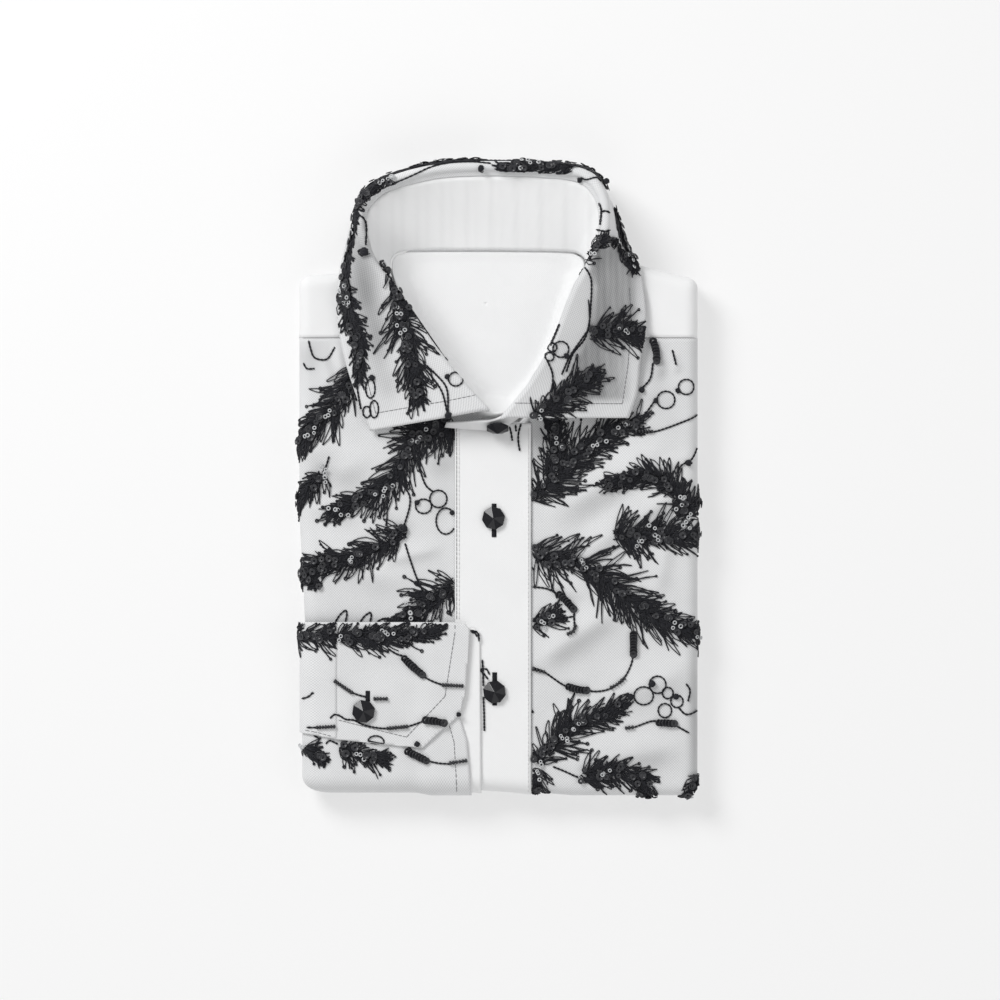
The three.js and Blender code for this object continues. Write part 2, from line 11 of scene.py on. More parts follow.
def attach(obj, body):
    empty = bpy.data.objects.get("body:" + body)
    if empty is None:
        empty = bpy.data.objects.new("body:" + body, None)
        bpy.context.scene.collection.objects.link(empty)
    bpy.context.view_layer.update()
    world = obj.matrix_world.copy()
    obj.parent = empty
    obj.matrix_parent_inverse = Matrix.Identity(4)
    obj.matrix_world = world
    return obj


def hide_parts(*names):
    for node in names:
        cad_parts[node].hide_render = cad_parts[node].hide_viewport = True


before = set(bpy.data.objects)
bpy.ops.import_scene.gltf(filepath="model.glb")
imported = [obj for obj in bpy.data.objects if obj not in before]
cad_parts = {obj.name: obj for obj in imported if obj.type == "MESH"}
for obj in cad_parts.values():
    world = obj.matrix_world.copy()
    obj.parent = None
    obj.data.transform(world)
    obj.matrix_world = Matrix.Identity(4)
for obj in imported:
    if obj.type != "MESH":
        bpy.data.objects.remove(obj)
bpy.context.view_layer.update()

MM = 0.001

# The folded pile, as the solids have it
HALF_WIDTH = 107.8
HALF_LENGTH = 171.6
HEIGHT_AT_HEM = 19
HEIGHT_AT_YOKE = 23
YOKE_SEAM = 76
FOLD_RADIUS = 6.5
FOLD_DROP = 3
# A quarter turn round a fold, and how much longer than its plan the cloth is at a folded side
QUARTER = FOLD_RADIUS * math.pi / 2
PAST_EDGE = QUARTER - FOLD_RADIUS + FOLD_DROP
SEAM_GAP = 0.3
LAYER_GAP = 0.3
FRONT_WALL = 1.4
CORE_GAP = 0.8

# Thickness that each cloth shows, and the step of the grid that it is cut with
CLOTH_WALL = 0.9
PLACKET_CLOTH_WALL = 1.0
CUFF_CLOTH_WALL = 1.0
STAND_CLOTH_WALL = 1.2
LEAF_CLOTH_WALL = 1.3
FLAT_STEP = 2.0
PLACKET_STEP = 1.5
CUFF_STEP = 1.8
LAYERS_STEP = 2.5

# Placket and fronts
PLACKET_LEFT = -23.5
PLACKET_RIGHT = 17.6
PLACKET_TOP = 30
RIGHT_FRONT_EDGE = 8
LEFT_FRONT_EDGE = PLACKET_RIGHT - 0.4
PLACKET_LIFT = 1.5

# Shoulder line, as its place at the side and its rise for each millimetre inwards, and neck
SHOULDER_LEFT = (109.5, 0.08)
SHOULDER_RIGHT = (107.3, 0.26)
NECK_BACK_X = -6
NECK_BACK_Y = 124.6
NECK_BACK_HALF = 42
NECK_BACK_BLEND = 12
TOP_NOMINAL = 112
PIT_FLOOR = 11.2
YOKE_FLOOR = 12.9
NECK_CENTRE = (-7, 95)
NECK_FRONT = 32
NECK_POINT = 29
YOKE_EDGES = (-47, 38)

# The shelf behind the neck, where the yoke's two halves end
SHELF_LEFT = -63
SHELF_RIGHT = 51.5
SHELF_START = 116
SHELF_TOP = 118

# How far the flat cut reaches, along the cloth and round its folds
FOLD_SIDE = HALF_WIDTH + PAST_EDGE
FOLD_BOTTOM = HALF_LENGTH + PAST_EDGE
FOLD_TOP = TOP_NOMINAL + PAST_EDGE

# Where the cut is drawn to the pile's outline: in full from the first place, not past the second
STRETCH_LEFT = (-101, -60)
STRETCH_BOTTOM = (-165, -120)
STRETCH_TOP = (105, 80)

# Cuff and sleeve
CUFF_TOP = -77.6
CUFF_SEAM = -89.5
CUFF_FOOT = -141
FACING_LEFT = -86
FACING_TOP = -80.6
CUFF_WALL = 1.2
FACING_LIFT = LAYER_GAP + CUFF_WALL
UNDERLAP_LIFT = 2 * FACING_LIFT
CUFF_LIFT = 3 * FACING_LIFT
# Where the cuff's layers rise from the side fold, and over the placket
SIDE_RISE = (-105, -90)
PLACKET_RISE = (-46, -35)
# Where the pile's outline gives way to the layers on it: in full, and not at all
RECESS_UNDER_SLEEVE = (-78, -20)
RECESS_UNDER_CUFF = (-13, 40)

# Collar
ROLL_RADIUS = 2.7
INNER_LEG = 3
LEAF_BOW = 1.4
COLLAR_COLUMNS = 240
STAND_ROWS = 18
INSIDE_STAND = 0.9
# Flat sizes along the unrolled lines, and how much of that rectangle the cut fills
LEAF_FLAT = (460, 75)
LEAF_FILLS = 0.58
STAND_FLAT = (420, 36)
STAND_FILLS = 0.72
INNER_YOKE_FLAT = (104, 91)
INNER_YOKE_FILLS = 0.75
# Three lines round the neck, as x, y and z: the stand's lower edge, the roll and the leaf's edge
COLLAR = {
    "band": [
        (-9, 34, 23.8), (-31, 57, 22.2), (-49, 84, 22), (-55, 101, 20.5), (-58.5, 114, 18),
        (-57, 120.5, 16), (-51, 123, 14.6), (-40, 123.5, 14.4), (-26, 123.6, 14.4),
        (-8, 123.6, 14.4), (16, 123.4, 14.4), (34, 123, 14.5), (42, 122.2, 15),
        (46.5, 119, 16.4), (47.4, 115.8, 17.3), (46.6, 111, 18.5), (43, 97, 21.5),
        (32, 64, 22.2), (22, 45.5, 22.4), (9, 31.5, 24),
    ],
    "roll": [
        (-4.5, 37, 42), (-27.3, 63, 43.5), (-46.8, 90.5, 45), (-57.6, 106.2, 45.5), (-67.5, 120, 45),
        (-71.8, 133, 44), (-72, 145, 42.5), (-64, 155, 40), (-34.3, 164, 37),
        (-7, 165.8, 35.5), (22, 165, 36.5), (46, 160.8, 39.5), (54, 149, 42.5),
        (54, 131, 44.5), (50.5, 122.5, 45), (46.8, 115, 45), (39.8, 103, 45.5),
        (26.8, 70.5, 44.5), (15.9, 51.6, 43), (0.5, 32.5, 42),
    ],
    "edge": [
        (-69.5, 25.7, 26.6), (-75.5, 40.8, 26.8), (-84.6, 69.7, 27), (-87.3, 91, 26.8), (-87, 106, 25.4),
        (-84, 122, 14), (-79, 141, 7), (-70, 158, 3.5), (-36, 169.6, 2.4),
        (-7, 171.4, 2.2), (22.5, 170.8, 2.4), (50, 166, 3.5), (61.5, 150, 7),
        (70.5, 127, 13.5), (75.3, 116, 24.4), (77.8, 105.5, 26.2), (79.7, 88, 27),
        (76.5, 60.8, 27), (74.9, 45.7, 26.8), (70.5, 32.7, 26.6),
    ],
}
# The stand's two ends past that ring: lower and upper place of each section
STAND_UNDER_END = [((4, 32.2, 24.6), (4.5, 36.6, 34.5))]
STAND_UPPER_END = [
    ((0, 27.6, 25), (-2, 32.4, 35.4)),
    ((-12, 27.3, 25), (-13, 31.4, 34)),
    ((-29, 28.6, 25), (-28, 30.6, 29)),
]

# Soft ridges in the fronts: from x, from y, to x, to y, half width, height
RIDGES = [
    (34, -16, 84, 14, 9, 2.2),
    (48, -38, 98, -6, 7, 1.5),
    (22, -97, 60, -72, 8, 2.1),
    (62, -118, 100, -104, 9, 1.4),
    (44, -152, 92, -147, 8, 1.6),
    (40, 58, 90, 44, 8, 1.2),
    (-104, 12, -76, 3, 8, 1.8),
    (-52, 6, -30, -14, 8, 1.3),
    (-100, -40, -52, -56, 9, 1.4),
]
# Finer creases that only the cloth has, in the same terms
CREASES = [
    (28, -4, 58, 22, 3.5, 0.7),
    (60, -62, 96, -84, 5, 0.9),
    (24, -52, 44, -64, 4, 0.7),
    (70, 2, 100, 10, 4, 0.6),
    (30, -132, 52, -122, 4.5, 0.8),
    (86, -60, 92, -30, 5, 0.8),
    (-96, 66, -90, 52, 2.6, 0.9),
    (-88, 70, -84, 58, 2.2, 0.7),
    (84, 70, 88, 56, 2.6, 0.8),
    (94, 68, 97, 58, 2.2, 0.6),
    (-70, -10, -50, -26, 4, 0.7),
    (-62, -44, -34, -38, 4, 0.8),
    (-100, -14, -80, -22, 4, 0.6),
]

# Where cloth lies in soft shade: middle x and y, reach in x and y, depth
SPOTS = {
    "front_right_cloth": [
        (-30, 8, 11, 9, 0.35), (-98, 11, 12, 6, 0.25), (-101, 66, 9, 8, 0.25), (-60, -22, 10, 6, 0.1),
    ],
    "front_left_cloth": [
        (22, 20, 6, 16, 0.45), (55, 30, 24, 6, 0.3), (86, 60, 6, 12, 0.3), (106, -135, 3, 44, 0.4),
        (33, -2, 5, 10, 0.25), (80, -150, 14, 6, 0.15),
    ],
    "collar_leaf_cloth": [
        (-76, 122, 8, 18, 0.6), (-71, 98, 8, 18, 0.72), (-65, 74, 7, 16, 0.6), (-60, 50, 7, 10, 0.3),
    ],
    "placket_cloth": [(-6, 26, 16, 5, 0.14), (12, 22, 5, 9, 0.1)],
    "cuff_right_cloth": [(-60, -96, 26, 6, 0.08)],
    "yoke_left_cloth": [(66, 80, 9, 5, 0.1)],
    "collar_stand_cloth": [(-54, 112, 7, 8, 0.12)],
}
# The way to the light in plan, and depths of shade
TO_LIGHT = (-0.55, 0.83)
FAINT_SHADE = 0.07
CUFF_SHADOW = 0.4
CUFF_SHADOW_REACH = 4
# The collar leaf's shade: depth, where it starts and ends along y, and where it ends along x
LEAF_SHADOW = 0.84
LEAF_SHADE_FOOT = (39.5, 45)
LEAF_SHADE_HIGH = (66, 86)
LEAF_SHADE_TOP = (120, 134)
LEAF_SHADE_RIM = (66.5, 73)
# The cord down the collar's leaf: its x places, and its y places
CORD_ON_LEAF = ((38, 40, 46, 48.5, 49, 50, 47, 50), (40, 66, 76, 86, 92, 103, 111, 134))

# The photo's middle and width on the surface, and a far camera, since it was taken from high above
PHOTO_CENTRE = (0.8, -11.6)
PHOTO_SPAN = 540.5
CAMERA_HEIGHT = 4500
SENSOR = 36


def make_camera():
    data = bpy.data.cameras.new("camera")
    camera = bpy.data.objects.new("camera", data)
    bpy.context.scene.collection.objects.link(camera)
    data.sensor_width = SENSOR
    data.lens = SENSOR * CAMERA_HEIGHT / PHOTO_SPAN
    data.clip_end = 20
    height = CAMERA_HEIGHT + HEIGHT_AT_YOKE
    camera.location = (PHOTO_CENTRE[0] * MM, PHOTO_CENTRE[1] * MM, height * MM)
    bpy.context.scene.camera = camera


# Shader maths: an expression on values adds its Math nodes
class Value:
    def __init__(self, tree, socket):
        self.tree = tree
        self.socket = socket

    def _math(self, operation, first, second=None):
        node = self.tree.nodes.new("ShaderNodeMath")
        node.operation = operation
        for index, term in enumerate((first, second)):
            if isinstance(term, Value):
                self.tree.links.new(term.socket, node.inputs[index])
            elif term is not None:
                node.inputs[index].default_value = term
        return Value(self.tree, node.outputs[0])

    def __add__(self, other):
        return self._math("ADD", self, other)

    def __radd__(self, other):
        return self._math("ADD", other, self)

    def __mul__(self, other):
        return self._math("MULTIPLY", self, other)

    def __rmul__(self, other):
        return self._math("MULTIPLY", other, self)

    def sine(self):
        return self._math("SINE", self)


# Sockets of a Mix node that is set to colours
MIX_SHARE = 0
MIX_FIRST = 6
MIX_SECOND = 7
MIX_RESULT = 2


class Finish:
    """One material for one of the part's slots: its shader, and any other node."""

    def __init__(self, name, slot=None):
        self.slot = slot
        self.material = bpy.data.materials.new(name)
        self.material.use_nodes = True
        self.tree = self.material.node_tree
        self.shader = self.tree.nodes["Principled BSDF"]

    def node(self, kind, settings=None, **sockets):
        """Any node but the shader, by its type, settings and sockets."""
        made = self.tree.nodes.new("ShaderNode" + kind)
        for key, value in (settings or {}).items():
            setattr(made, key, value)
        for key, value in sockets.items():
            self.feed(made.inputs[key.replace("_", " ")], value)
        return made

    def feed(self, socket, value):
        if isinstance(value, Value):
            self.tree.links.new(value.socket, socket)
        elif isinstance(value, bpy.types.NodeSocket):
            self.tree.links.new(value, socket)
        else:
            socket.default_value = value

    def value(self, node, output):
        return Value(self.tree, node.outputs[output])

    def mix_colour(self, share, first, second):
        made = self.node("Mix", {"data_type": "RGBA"})
        self.feed(made.inputs[MIX_SHARE], share)
        self.feed(made.inputs[MIX_FIRST], first)
        self.feed(made.inputs[MIX_SECOND], second)
        return made.outputs[MIX_RESULT]

    def noise(self, place, scale, detail):
        return self.value(self.node("TexNoise", Vector=place, Scale=scale, Detail=detail), "Fac")

    def speckle(self, scale, detail):
        """Noise in the piece's own space."""
        return self.noise(self.node("TexCoord").outputs["Object"], scale, detail)

    def set(self, **sockets):
        for key, value in sockets.items():
            self.feed(self.shader.inputs[key.replace("_", " ")], value)

    def bump(self, height, strength, distance):
        made = self.node("Bump", Height=height, Strength=strength, Distance=distance)
        self.feed(self.shader.inputs["Normal"], made.outputs["Normal"])


# Light and dark threads of the weave where painted shade lies on the cloth
DEEP_LIGHT = (0.3, 0.302, 0.306, 1)
DEEP_DARK = (0.07, 0.071, 0.074, 1)


def cloth_finish(name, slot, light, dark, thread_pitch, weave_depth, slub):
    """Woven cloth. The weave follows the piece's own cut, through its UV map in millimetres. Its colour is
    mixed towards a darker weave by the shade attribute, as painted shade.
    """
    finish = Finish(name, slot)
    place = finish.node("UVMap", {"uv_map": "cloth"}).outputs["UV"]
    axes = finish.node("SeparateXYZ", Vector=place)
    turns = 2 * math.pi / thread_pitch
    across = (finish.value(axes, "X") * turns).sine()
    along = (finish.value(axes, "Y") * turns).sine()
    weave = across * along * 0.5 + 0.5
    coarse = finish.noise(place, scale=0.05, detail=3.0)
    fine = finish.noise(place, scale=1.3, detail=4.0)
    uneven = coarse * 0.6 + fine * slub
    tone = weave * weave_depth + uneven * 0.5
    shade = finish.node("Attribute", {"attribute_name": "shade"})
    woven = finish.mix_colour(tone, dark, light)
    shaded = finish.mix_colour(tone, DEEP_DARK, DEEP_LIGHT)
    finish.set(
        Base_Color=finish.mix_colour(finish.value(shade, "Fac"), shaded, woven),
        Roughness=0.82,
        Sheen_Weight=0.25,
        Sheen_Roughness=0.5,
        Specular_IOR_Level=0.25,
    )
    finish.bump(weave + uneven * 0.4, strength=0.35, distance=0.00012)
    return finish


def crystal_finish():
    finish = Finish("black_crystal", "black_crystal")
    speckle = finish.speckle(scale=900.0, detail=2.0)
    shade = finish.mix_colour(speckle, (0.006, 0.006, 0.008, 1), (0.02, 0.02, 0.024, 1))
    finish.set(Base_Color=shade, Roughness=0.09, Specular_IOR_Level=0.3)
    return finish


def thread_finish(name, light, dark):
    finish = Finish(name, "embroidery_thread")
    ply = finish.speckle(scale=2600.0, detail=3.0)
    finish.set(
        Base_Color=finish.mix_colour(ply, dark, light),
        Roughness=0.58,
        Sheen_Weight=0.08,
        Specular_IOR_Level=0.25,
    )
    finish.bump(ply, strength=0.4, distance=0.0001)
    return finish


def sequin_finish(name, light, dark, metal):
    finish = Finish(name, "sequin")
    tint = finish.speckle(scale=420.0, detail=1.0)
    finish.set(
        Base_Color=finish.mix_colour(tint, dark, light),
        Roughness=0.3,
        Metallic=metal,
        Specular_IOR_Level=0.4,
    )
    return finish


def floor_finish():
    finish = Finish("pale_floor")
    finish.set(
        Base_Color=(0.5, 0.5, 0.5, 1),
        Roughness=0.9,
        Specular_IOR_Level=0.1,
        Emission_Color=(1, 1, 1, 1),
        Emission_Strength=0.45,
    )
    return finish


pale_cloth = cloth_finish(
    "pale_cloth",
    "embroidered_cloth",
    light=(0.87, 0.875, 0.88, 1),
    dark=(0.5, 0.505, 0.515, 1),
    thread_pitch=1.45,
    weave_depth=0.75,
    slub=0.5,
)
white_cloth = cloth_finish(
    "white_cloth",
    "white_cloth",
    light=(0.94, 0.94, 0.94, 1),
    dark=(0.86, 0.865, 0.87, 1),
    thread_pitch=1.1,
    weave_depth=0.4,
    slub=0.4,
)
black_crystal = crystal_finish()
black_thread = thread_finish("black_thread", (0.02, 0.021, 0.027, 1), (0.005, 0.005, 0.008, 1))
white_thread = thread_finish("white_thread", (0.85, 0.85, 0.85, 1), (0.7, 0.7, 0.7, 1))
dark_sequin = sequin_finish("dark_sequin", (0.055, 0.056, 0.061, 1), (0.012, 0.012, 0.016, 1), 0.0)
light_sequin = sequin_finish("light_sequin", (0.74, 0.75, 0.76, 1), (0.42, 0.43, 0.44, 1), 0.1)
grey_thread = thread_finish("grey_thread", (0.3, 0.3, 0.31, 1), (0.16, 0.16, 0.17, 1))


# The pile's form
def smooth(value, low, high):
    share = np.clip((value - low) / (high - low), 0, 1)
    return share * share * (3 - 2 * share)


def ramp(value, full, none):
    """1 at the place called full and past it, 0 at none and past it."""
    return np.clip((none - value) / (none - full), 0, 1)


def mixed(first, second, share):
    return first + (second - first) * share


def unit(vectors):
    return vectors / np.maximum(np.linalg.norm(vectors, axis=-1, keepdims=True), 1e-9)


def left_edge(t):
    return -HALF_WIDTH + UNDERLAP_LIFT * ramp(t, *RECESS_UNDER_SLEEVE)


def bottom_edge(s):
    return -HALF_LENGTH + (UNDERLAP_LIFT + PLACKET_LIFT) * ramp(s, *RECESS_UNDER_CUFF)


def top_edge(s):
    left = SHOULDER_LEFT[0] + SHOULDER_LEFT[1] * (HALF_WIDTH + s)
    right = SHOULDER_RIGHT[0] + SHOULDER_RIGHT[1] * (HALF_WIDTH - s)
    side = np.where(s < 0, left, right)
    from_neck = np.abs(s - NECK_BACK_X) - NECK_BACK_HALF
    return mixed(NECK_BACK_Y, side, smooth(from_neck, 0, NECK_BACK_BLEND))


def pile_height(t):
    return mixed(HEIGHT_AT_YOKE, HEIGHT_AT_HEM, ramp(t, -HALF_LENGTH, YOKE_SEAM))


def pile(s, t, lift):
    """Points on the pile's face at cloth places s and t, turned down over its edges."""
    middle_x = np.clip(s, left_edge(t) + FOLD_RADIUS, HALF_WIDTH - FOLD_RADIUS)
    middle_y = np.clip(t, bottom_edge(middle_x) + FOLD_RADIUS, top_edge(middle_x) - FOLD_RADIUS)
    over_x = np.abs(s - middle_x) / QUARTER
    over_y = np.abs(t - middle_y) / QUARTER
    over = np.maximum(over_x, over_y)
    safe = np.maximum(over, 1e-9)
    heading = np.where(
        over_x >= over_y,
        math.pi / 4 * over_y / safe,
        math.pi / 2 - math.pi / 4 * over_x / safe,
    )
    turn = np.minimum(over, 1) * math.pi / 2
    drop = np.maximum(over - 1, 0) * QUARTER
    reach = (FOLD_RADIUS + lift) * np.sin(turn)
    x = middle_x + np.sign(s - middle_x) * reach * np.cos(heading)
    y = middle_y + np.sign(t - middle_y) * reach * np.sin(heading)
    z = pile_height(t) - FOLD_RADIUS + (FOLD_RADIUS + lift) * np.cos(turn) - drop
    return np.stack([x, y, z], axis=-1)


def ridge_height(s, t, table):
    total = np.zeros_like(s, dtype=float)
    for from_x, from_y, to_x, to_y, width, height in table:
        length = math.hypot(to_x - from_x, to_y - from_y)
        run_x = (to_x - from_x) / length
        run_y = (to_y - from_y) / length
        run = ((s - from_x) * run_x + (t - from_y) * run_y) / length
        aside = ((s - from_x) * run_y - (t - from_y) * run_x) / width
        taper = smooth(run, -0.25, 0.3) * (1 - smooth(run, 0.7, 1.25))
        total += height * taper * np.exp(-aside * aside)
    return total


def soft_spots(x, y, table):
    """Painted shade in soft round spots: how dark each place gets, from spots given by middle, reach along
    x and y, and depth.
    """
    total = np.zeros_like(x, dtype=float)
    for middle_x, middle_y, reach_x, reach_y, depth in table:
        away = ((x - middle_x) / reach_x) ** 2 + ((y - middle_y) / reach_y) ** 2
        total += depth * np.exp(-away)
    return total


def fold_shade(x, y):
    """Lighter on the folds' sides that face the light, darker on the others."""
    step = 0.8
    both = RIDGES + CREASES
    rise_x = (ridge_height(x + step, y, both) - ridge_height(x - step, y, both)) / (2 * step)
    rise_y = (ridge_height(x, y + step, both) - ridge_height(x, y - step, both)) / (2 * step)
    lit = -rise_x * TO_LIGHT[0] - rise_y * TO_LIGHT[1]
    return 0.96 + 1.25 * np.clip(lit, -0.25, 0.03)


def cuff_shadow(x, y):
    """Shade on the right front along the cuff's upper edge, deeper towards the side."""
    above = np.maximum(y - CUFF_TOP, 0)
    towards_side = 0.45 + 0.55 * smooth(-x, 30, 90)
    return CUFF_SHADOW * np.exp(-above / CUFF_SHADOW_REACH) * (y > CUFF_TOP - 1) * towards_side


def leaf_shadow(x, y):
    """Shade on the collar's leaf past the cord that runs down it, and a little before that cord."""
    past_cord = smooth(x - np.interp(y, CORD_ON_LEAF[1], CORD_ON_LEAF[0]), 0, 5)
    high = smooth(y, *LEAF_SHADE_HIGH)
    before_rim = 1 - smooth(x - 4 * high, *LEAF_SHADE_RIM)
    on_leaf = smooth(y, *LEAF_SHADE_FOOT) * (1 - smooth(y, *LEAF_SHADE_TOP))
    streaks = 0.05 * np.sin(x * 1.9 + 0.3 * np.sin(y * 0.4)) + 0.04 * np.sin(x * 0.83 + y * 0.11)
    towards_rim = (0.36 - 0.21 * high) * smooth(x, 50, 70)
    before_cord = (1 - past_cord) * (x > 0) * smooth(y, 45, 60) * (1 - smooth(y, 112, 126))
    return past_cord * before_rim * on_leaf * (LEAF_SHADOW - towards_rim + streaks) + 0.13 * before_cord


def piece_shade(name, x, y):
    """Shade of a cloth piece at places seen from above: 1 is plain, 0 is deepest."""
    shade = fold_shade(x, y) if name.startswith("front") else np.ones_like(x, dtype=float)
    if name == "front_right_cloth":
        shade -= cuff_shadow(x, y)
    if name == "collar_leaf_cloth":
        shade -= leaf_shadow(x, y)
    if name in ("yoke_inside_cloth", "yoke_right_cloth"):
        shade -= FAINT_SHADE
    if name == "collar_stand_cloth":
        shade -= FAINT_SHADE * np.maximum(np.sin(x * 0.71 + 1) * np.sin(x * 0.23), 0)
    shade -= soft_spots(x, y, SPOTS.get(name, []))
    return np.clip(shade, 0.05, 1)


def fit_to_edges(s, t, folds):
    """Shift a straight cut so that its folded sides follow the pile's outline."""
    if "left" in folds:
        s = s + (left_edge(t) + HALF_WIDTH) * ramp(s, *STRETCH_LEFT)
    if "bottom" in folds:
        t = t + (bottom_edge(s) + HALF_LENGTH) * ramp(t, *STRETCH_BOTTOM)
    if "top" in folds:
        t = t + (top_edge(s) - TOP_NOMINAL) * ramp(t, *STRETCH_TOP)
    return s, t


def face_on_pile(folds, rise):
    """A cloth face on the pile: its folded sides, and how far it rises at cloth places s and t."""

    def face(s, t, lift):
        s, t = fit_to_edges(s, t, folds)
        return pile(s, t, rise(s, t) + lift)

    return face


# Cutting and laying cloth
def cut_cloth(low_s, high_s, low_t, high_t, step=FLAT_STEP):
    """A flat rectangle of cloth, as a fine grid."""
    cloth = bmesh.new()
    columns = max(2, round((high_s - low_s) / step))
    rows = max(2, round((high_t - low_t) / step))
    bmesh.ops.create_grid(cloth, x_segments=columns, y_segments=rows, size=0.5)
    bmesh.ops.scale(cloth, vec=(high_s - low_s, high_t - low_t, 1), verts=cloth.verts)
    middle = ((low_s + high_s) / 2, (low_t + high_t) / 2, 0)
    bmesh.ops.translate(cloth, vec=middle, verts=cloth.verts)
    return cloth


def outline_sides(outline):
    """A corner and the outward direction of each side of a convex outline."""
    corners = np.array(outline, dtype=float)
    for first, second in zip(corners, np.roll(corners, -1, axis=0)):
        run = unit(second - first)
        normal = np.array((run[1], -run[0]))
        if np.dot(normal, corners.mean(axis=0) - first) > 0:
            normal = -normal
        yield first, normal


def trim(cloth, outline):
    """Cut the cloth back to a convex outline."""
    for corner, normal in outline_sides(outline):
        bmesh.ops.bisect_plane(
            cloth,
            geom=cloth.verts[:] + cloth.edges[:] + cloth.faces[:],
            plane_co=(*corner, 0),
            plane_no=(*normal, 0),
            clear_outer=True,
        )


def grow(cloth, edges):
    """Extrude open edges once, and give the new corners and the new open edges."""
    grown = bmesh.ops.extrude_edge_only(cloth, edges=edges)["geom"]
    verts = [item for item in grown if isinstance(item, bmesh.types.BMVert)]
    edges = [item for item in grown if isinstance(item, bmesh.types.BMEdge) and item.is_boundary]
    return verts, edges


def lay(cloth, shape):
    """Write the flat places to the UV map, then move each point by shape(s, t)."""
    flat_area = sum(face.calc_area() for face in cloth.faces)
    flat = np.array([vert.co.xy for vert in cloth.verts])
    places, points = shape(flat[:, 0], flat[:, 1])
    layer = cloth.loops.layers.uv.new("cloth")
    cloth.verts.index_update()
    for face in cloth.faces:
        for loop in face.loops:
            loop[layer].uv = places[loop.vert.index]
    for vert, point in zip(cloth.verts, points):
        vert.co = point
    return flat_area


def add_piece(name, mesh, finish, wall=0.0):
    """Put a mesh in the scene as a piece that rides on the body."""
    mesh.materials.append(finish.material)
    piece = bpy.data.objects.new(name, mesh)
    bpy.context.scene.collection.objects.link(piece)
    if wall:
        thicken = piece.modifiers.new("wall", "SOLIDIFY")
        thicken.thickness = wall * MM
        thicken.offset = -1
    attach(piece, "root")
    return piece


def finish_piece(name, cloth, finish, node, wall=0.0):
    """Turn a bmesh in millimetres into a piece that takes the place of one of the part's nodes."""
    bmesh.ops.scale(cloth, vec=(MM, MM, MM), verts=cloth.verts)
    mesh = bpy.data.meshes.new(name)
    cloth.to_mesh(mesh)
    cloth.free()
    mesh.shade_smooth()
    if name.endswith("_cloth"):
        # Cloth pieces carry their painted shade, from piece_shade, as a point attribute
        corners = np.array([vert.co for vert in mesh.vertices]) / MM
        shade = mesh.attributes.new("shade", "FLOAT", "POINT")
        shade.data.foreach_set("value", piece_shade(name, corners[:, 0], corners[:, 1]))
    piece = add_piece(name, mesh, finish, wall)
    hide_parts(node)
    return piece


def face_up(cloth):
    """Turn an open sheet so that its faces look up and out."""
    if sum(face.normal.z * face.calc_area() for face in cloth.faces) < 0:
        bmesh.ops.reverse_faces(cloth, faces=cloth.faces)


def state_sheet(size, share):
    """Work out a piece's flat cut in metres from its size in millimetres and the share of that rectangle
    it fills; the results are not kept.
    """
    width, length = size
    width * MM
    length * MM
    share * width * length * MM * MM


def laid_cloth(name, cloth, shape, finish, wall, size):
    """Lay a cut of cloth by shape(s, t), and finish it."""
    flat_area = lay(cloth, shape)
    cloth.normal_update()
    face_up(cloth)
    piece = finish_piece(name + "_cloth", cloth, finish, name, wall)
    width, length = size
    state_sheet(size, min(flat_area / (width * length), 1.0))


def neckline(t, side):
    """Where a front or yoke ends at the neck, left of it or right of it."""
    band = np.array(COLLAR["band"], dtype=float)
    clearance = 2.2 + 2.2 * smooth(t, 92, 112)
    if side == "left":
        return np.interp(t, band[:5, 1], band[:5, 0]) - clearance
    rows = band[::-1][:5]
    return np.interp(t, rows[:, 1], rows[:, 0]) + clearance


def cloth_folds(s, t):
    return ridge_height(s, t, RIDGES) + ridge_height(s, t, CREASES)


def right_rise(s, t):
    """Folds on the right front, none under the placket and the cuff."""
    bare = (1 - smooth(s, -38, -24)) * smooth(t, CUFF_TOP, CUFF_TOP + 14)
    return cloth_folds(s, t) * bare


def left_rise(s, t):
    """Folds on the left front, none beside the placket."""
    return cloth_folds(s, t) * smooth(s, 20, 30)


def placket_rise(s, t):
    """Small waves along the placket, none at its two edges."""
    wave = 0.18 * np.sin(t / 9.0) * np.sin(s / 13 + 1) + 0.12 * np.sin(t / 4.3 + s / 8)
    quiet = smooth(20.5 - np.abs(s + 3), 0, 5.5)
    return PLACKET_LIFT + wave * quiet


def yoke_rise(s, t):
    """Tucks above the yoke's seam."""
    return 0.25 * np.sin(s / 3.1) * (1 - smooth(t, YOKE_SEAM, YOKE_SEAM + 6))


right_face = face_on_pile(("left", "bottom"), right_rise)
left_face = face_on_pile(("bottom",), left_rise)
placket_face = face_on_pile(("bottom",), placket_rise)
yoke_face = face_on_pile(("top",), yoke_rise)


def fitted(s, side, edge, limit):
    """Cloth cut between a side and a straight edge, drawn in so that the edge lies on a limit."""
    return mixed(side, limit, (s - side) / (edge - side))


def shoulder_piece(name, finish, face, side, edge, low_t, high_t, limit):
    """Cloth from a side fold to limit(t), cut half a seam's gap short at the yoke seam."""

    def shape(s, t):
        s = fitted(s, side, edge, limit(t))
        return np.stack([s, t], axis=-1), face(s, t, 0)

    low_s, high_s = sorted((side, edge))
    cloth = cut_cloth(low_s, high_s, low_t, high_t)
    size = (high_s - low_s, high_t - low_t + SEAM_GAP / 2)
    laid_cloth(name, cloth, shape, finish, CLOTH_WALL, size)


def front(name, face, side, edge, neck_side, neck_start):
    """A front, which follows the placket and then the neckline."""

    def limit(t):
        return mixed(edge, neckline(t, neck_side), smooth(t, *neck_start))

    top = YOKE_SEAM - SEAM_GAP / 2
    shoulder_piece(name, pale_cloth, face, side, edge, -FOLD_BOTTOM, top, limit)


def front_right():
    front("front_right", right_face, -FOLD_SIDE, RIGHT_FRONT_EDGE, "left", (NECK_POINT, 34))


def front_left():
    front("front_left", left_face, FOLD_SIDE, LEFT_FRONT_EDGE, "right", (NECK_POINT, 40))


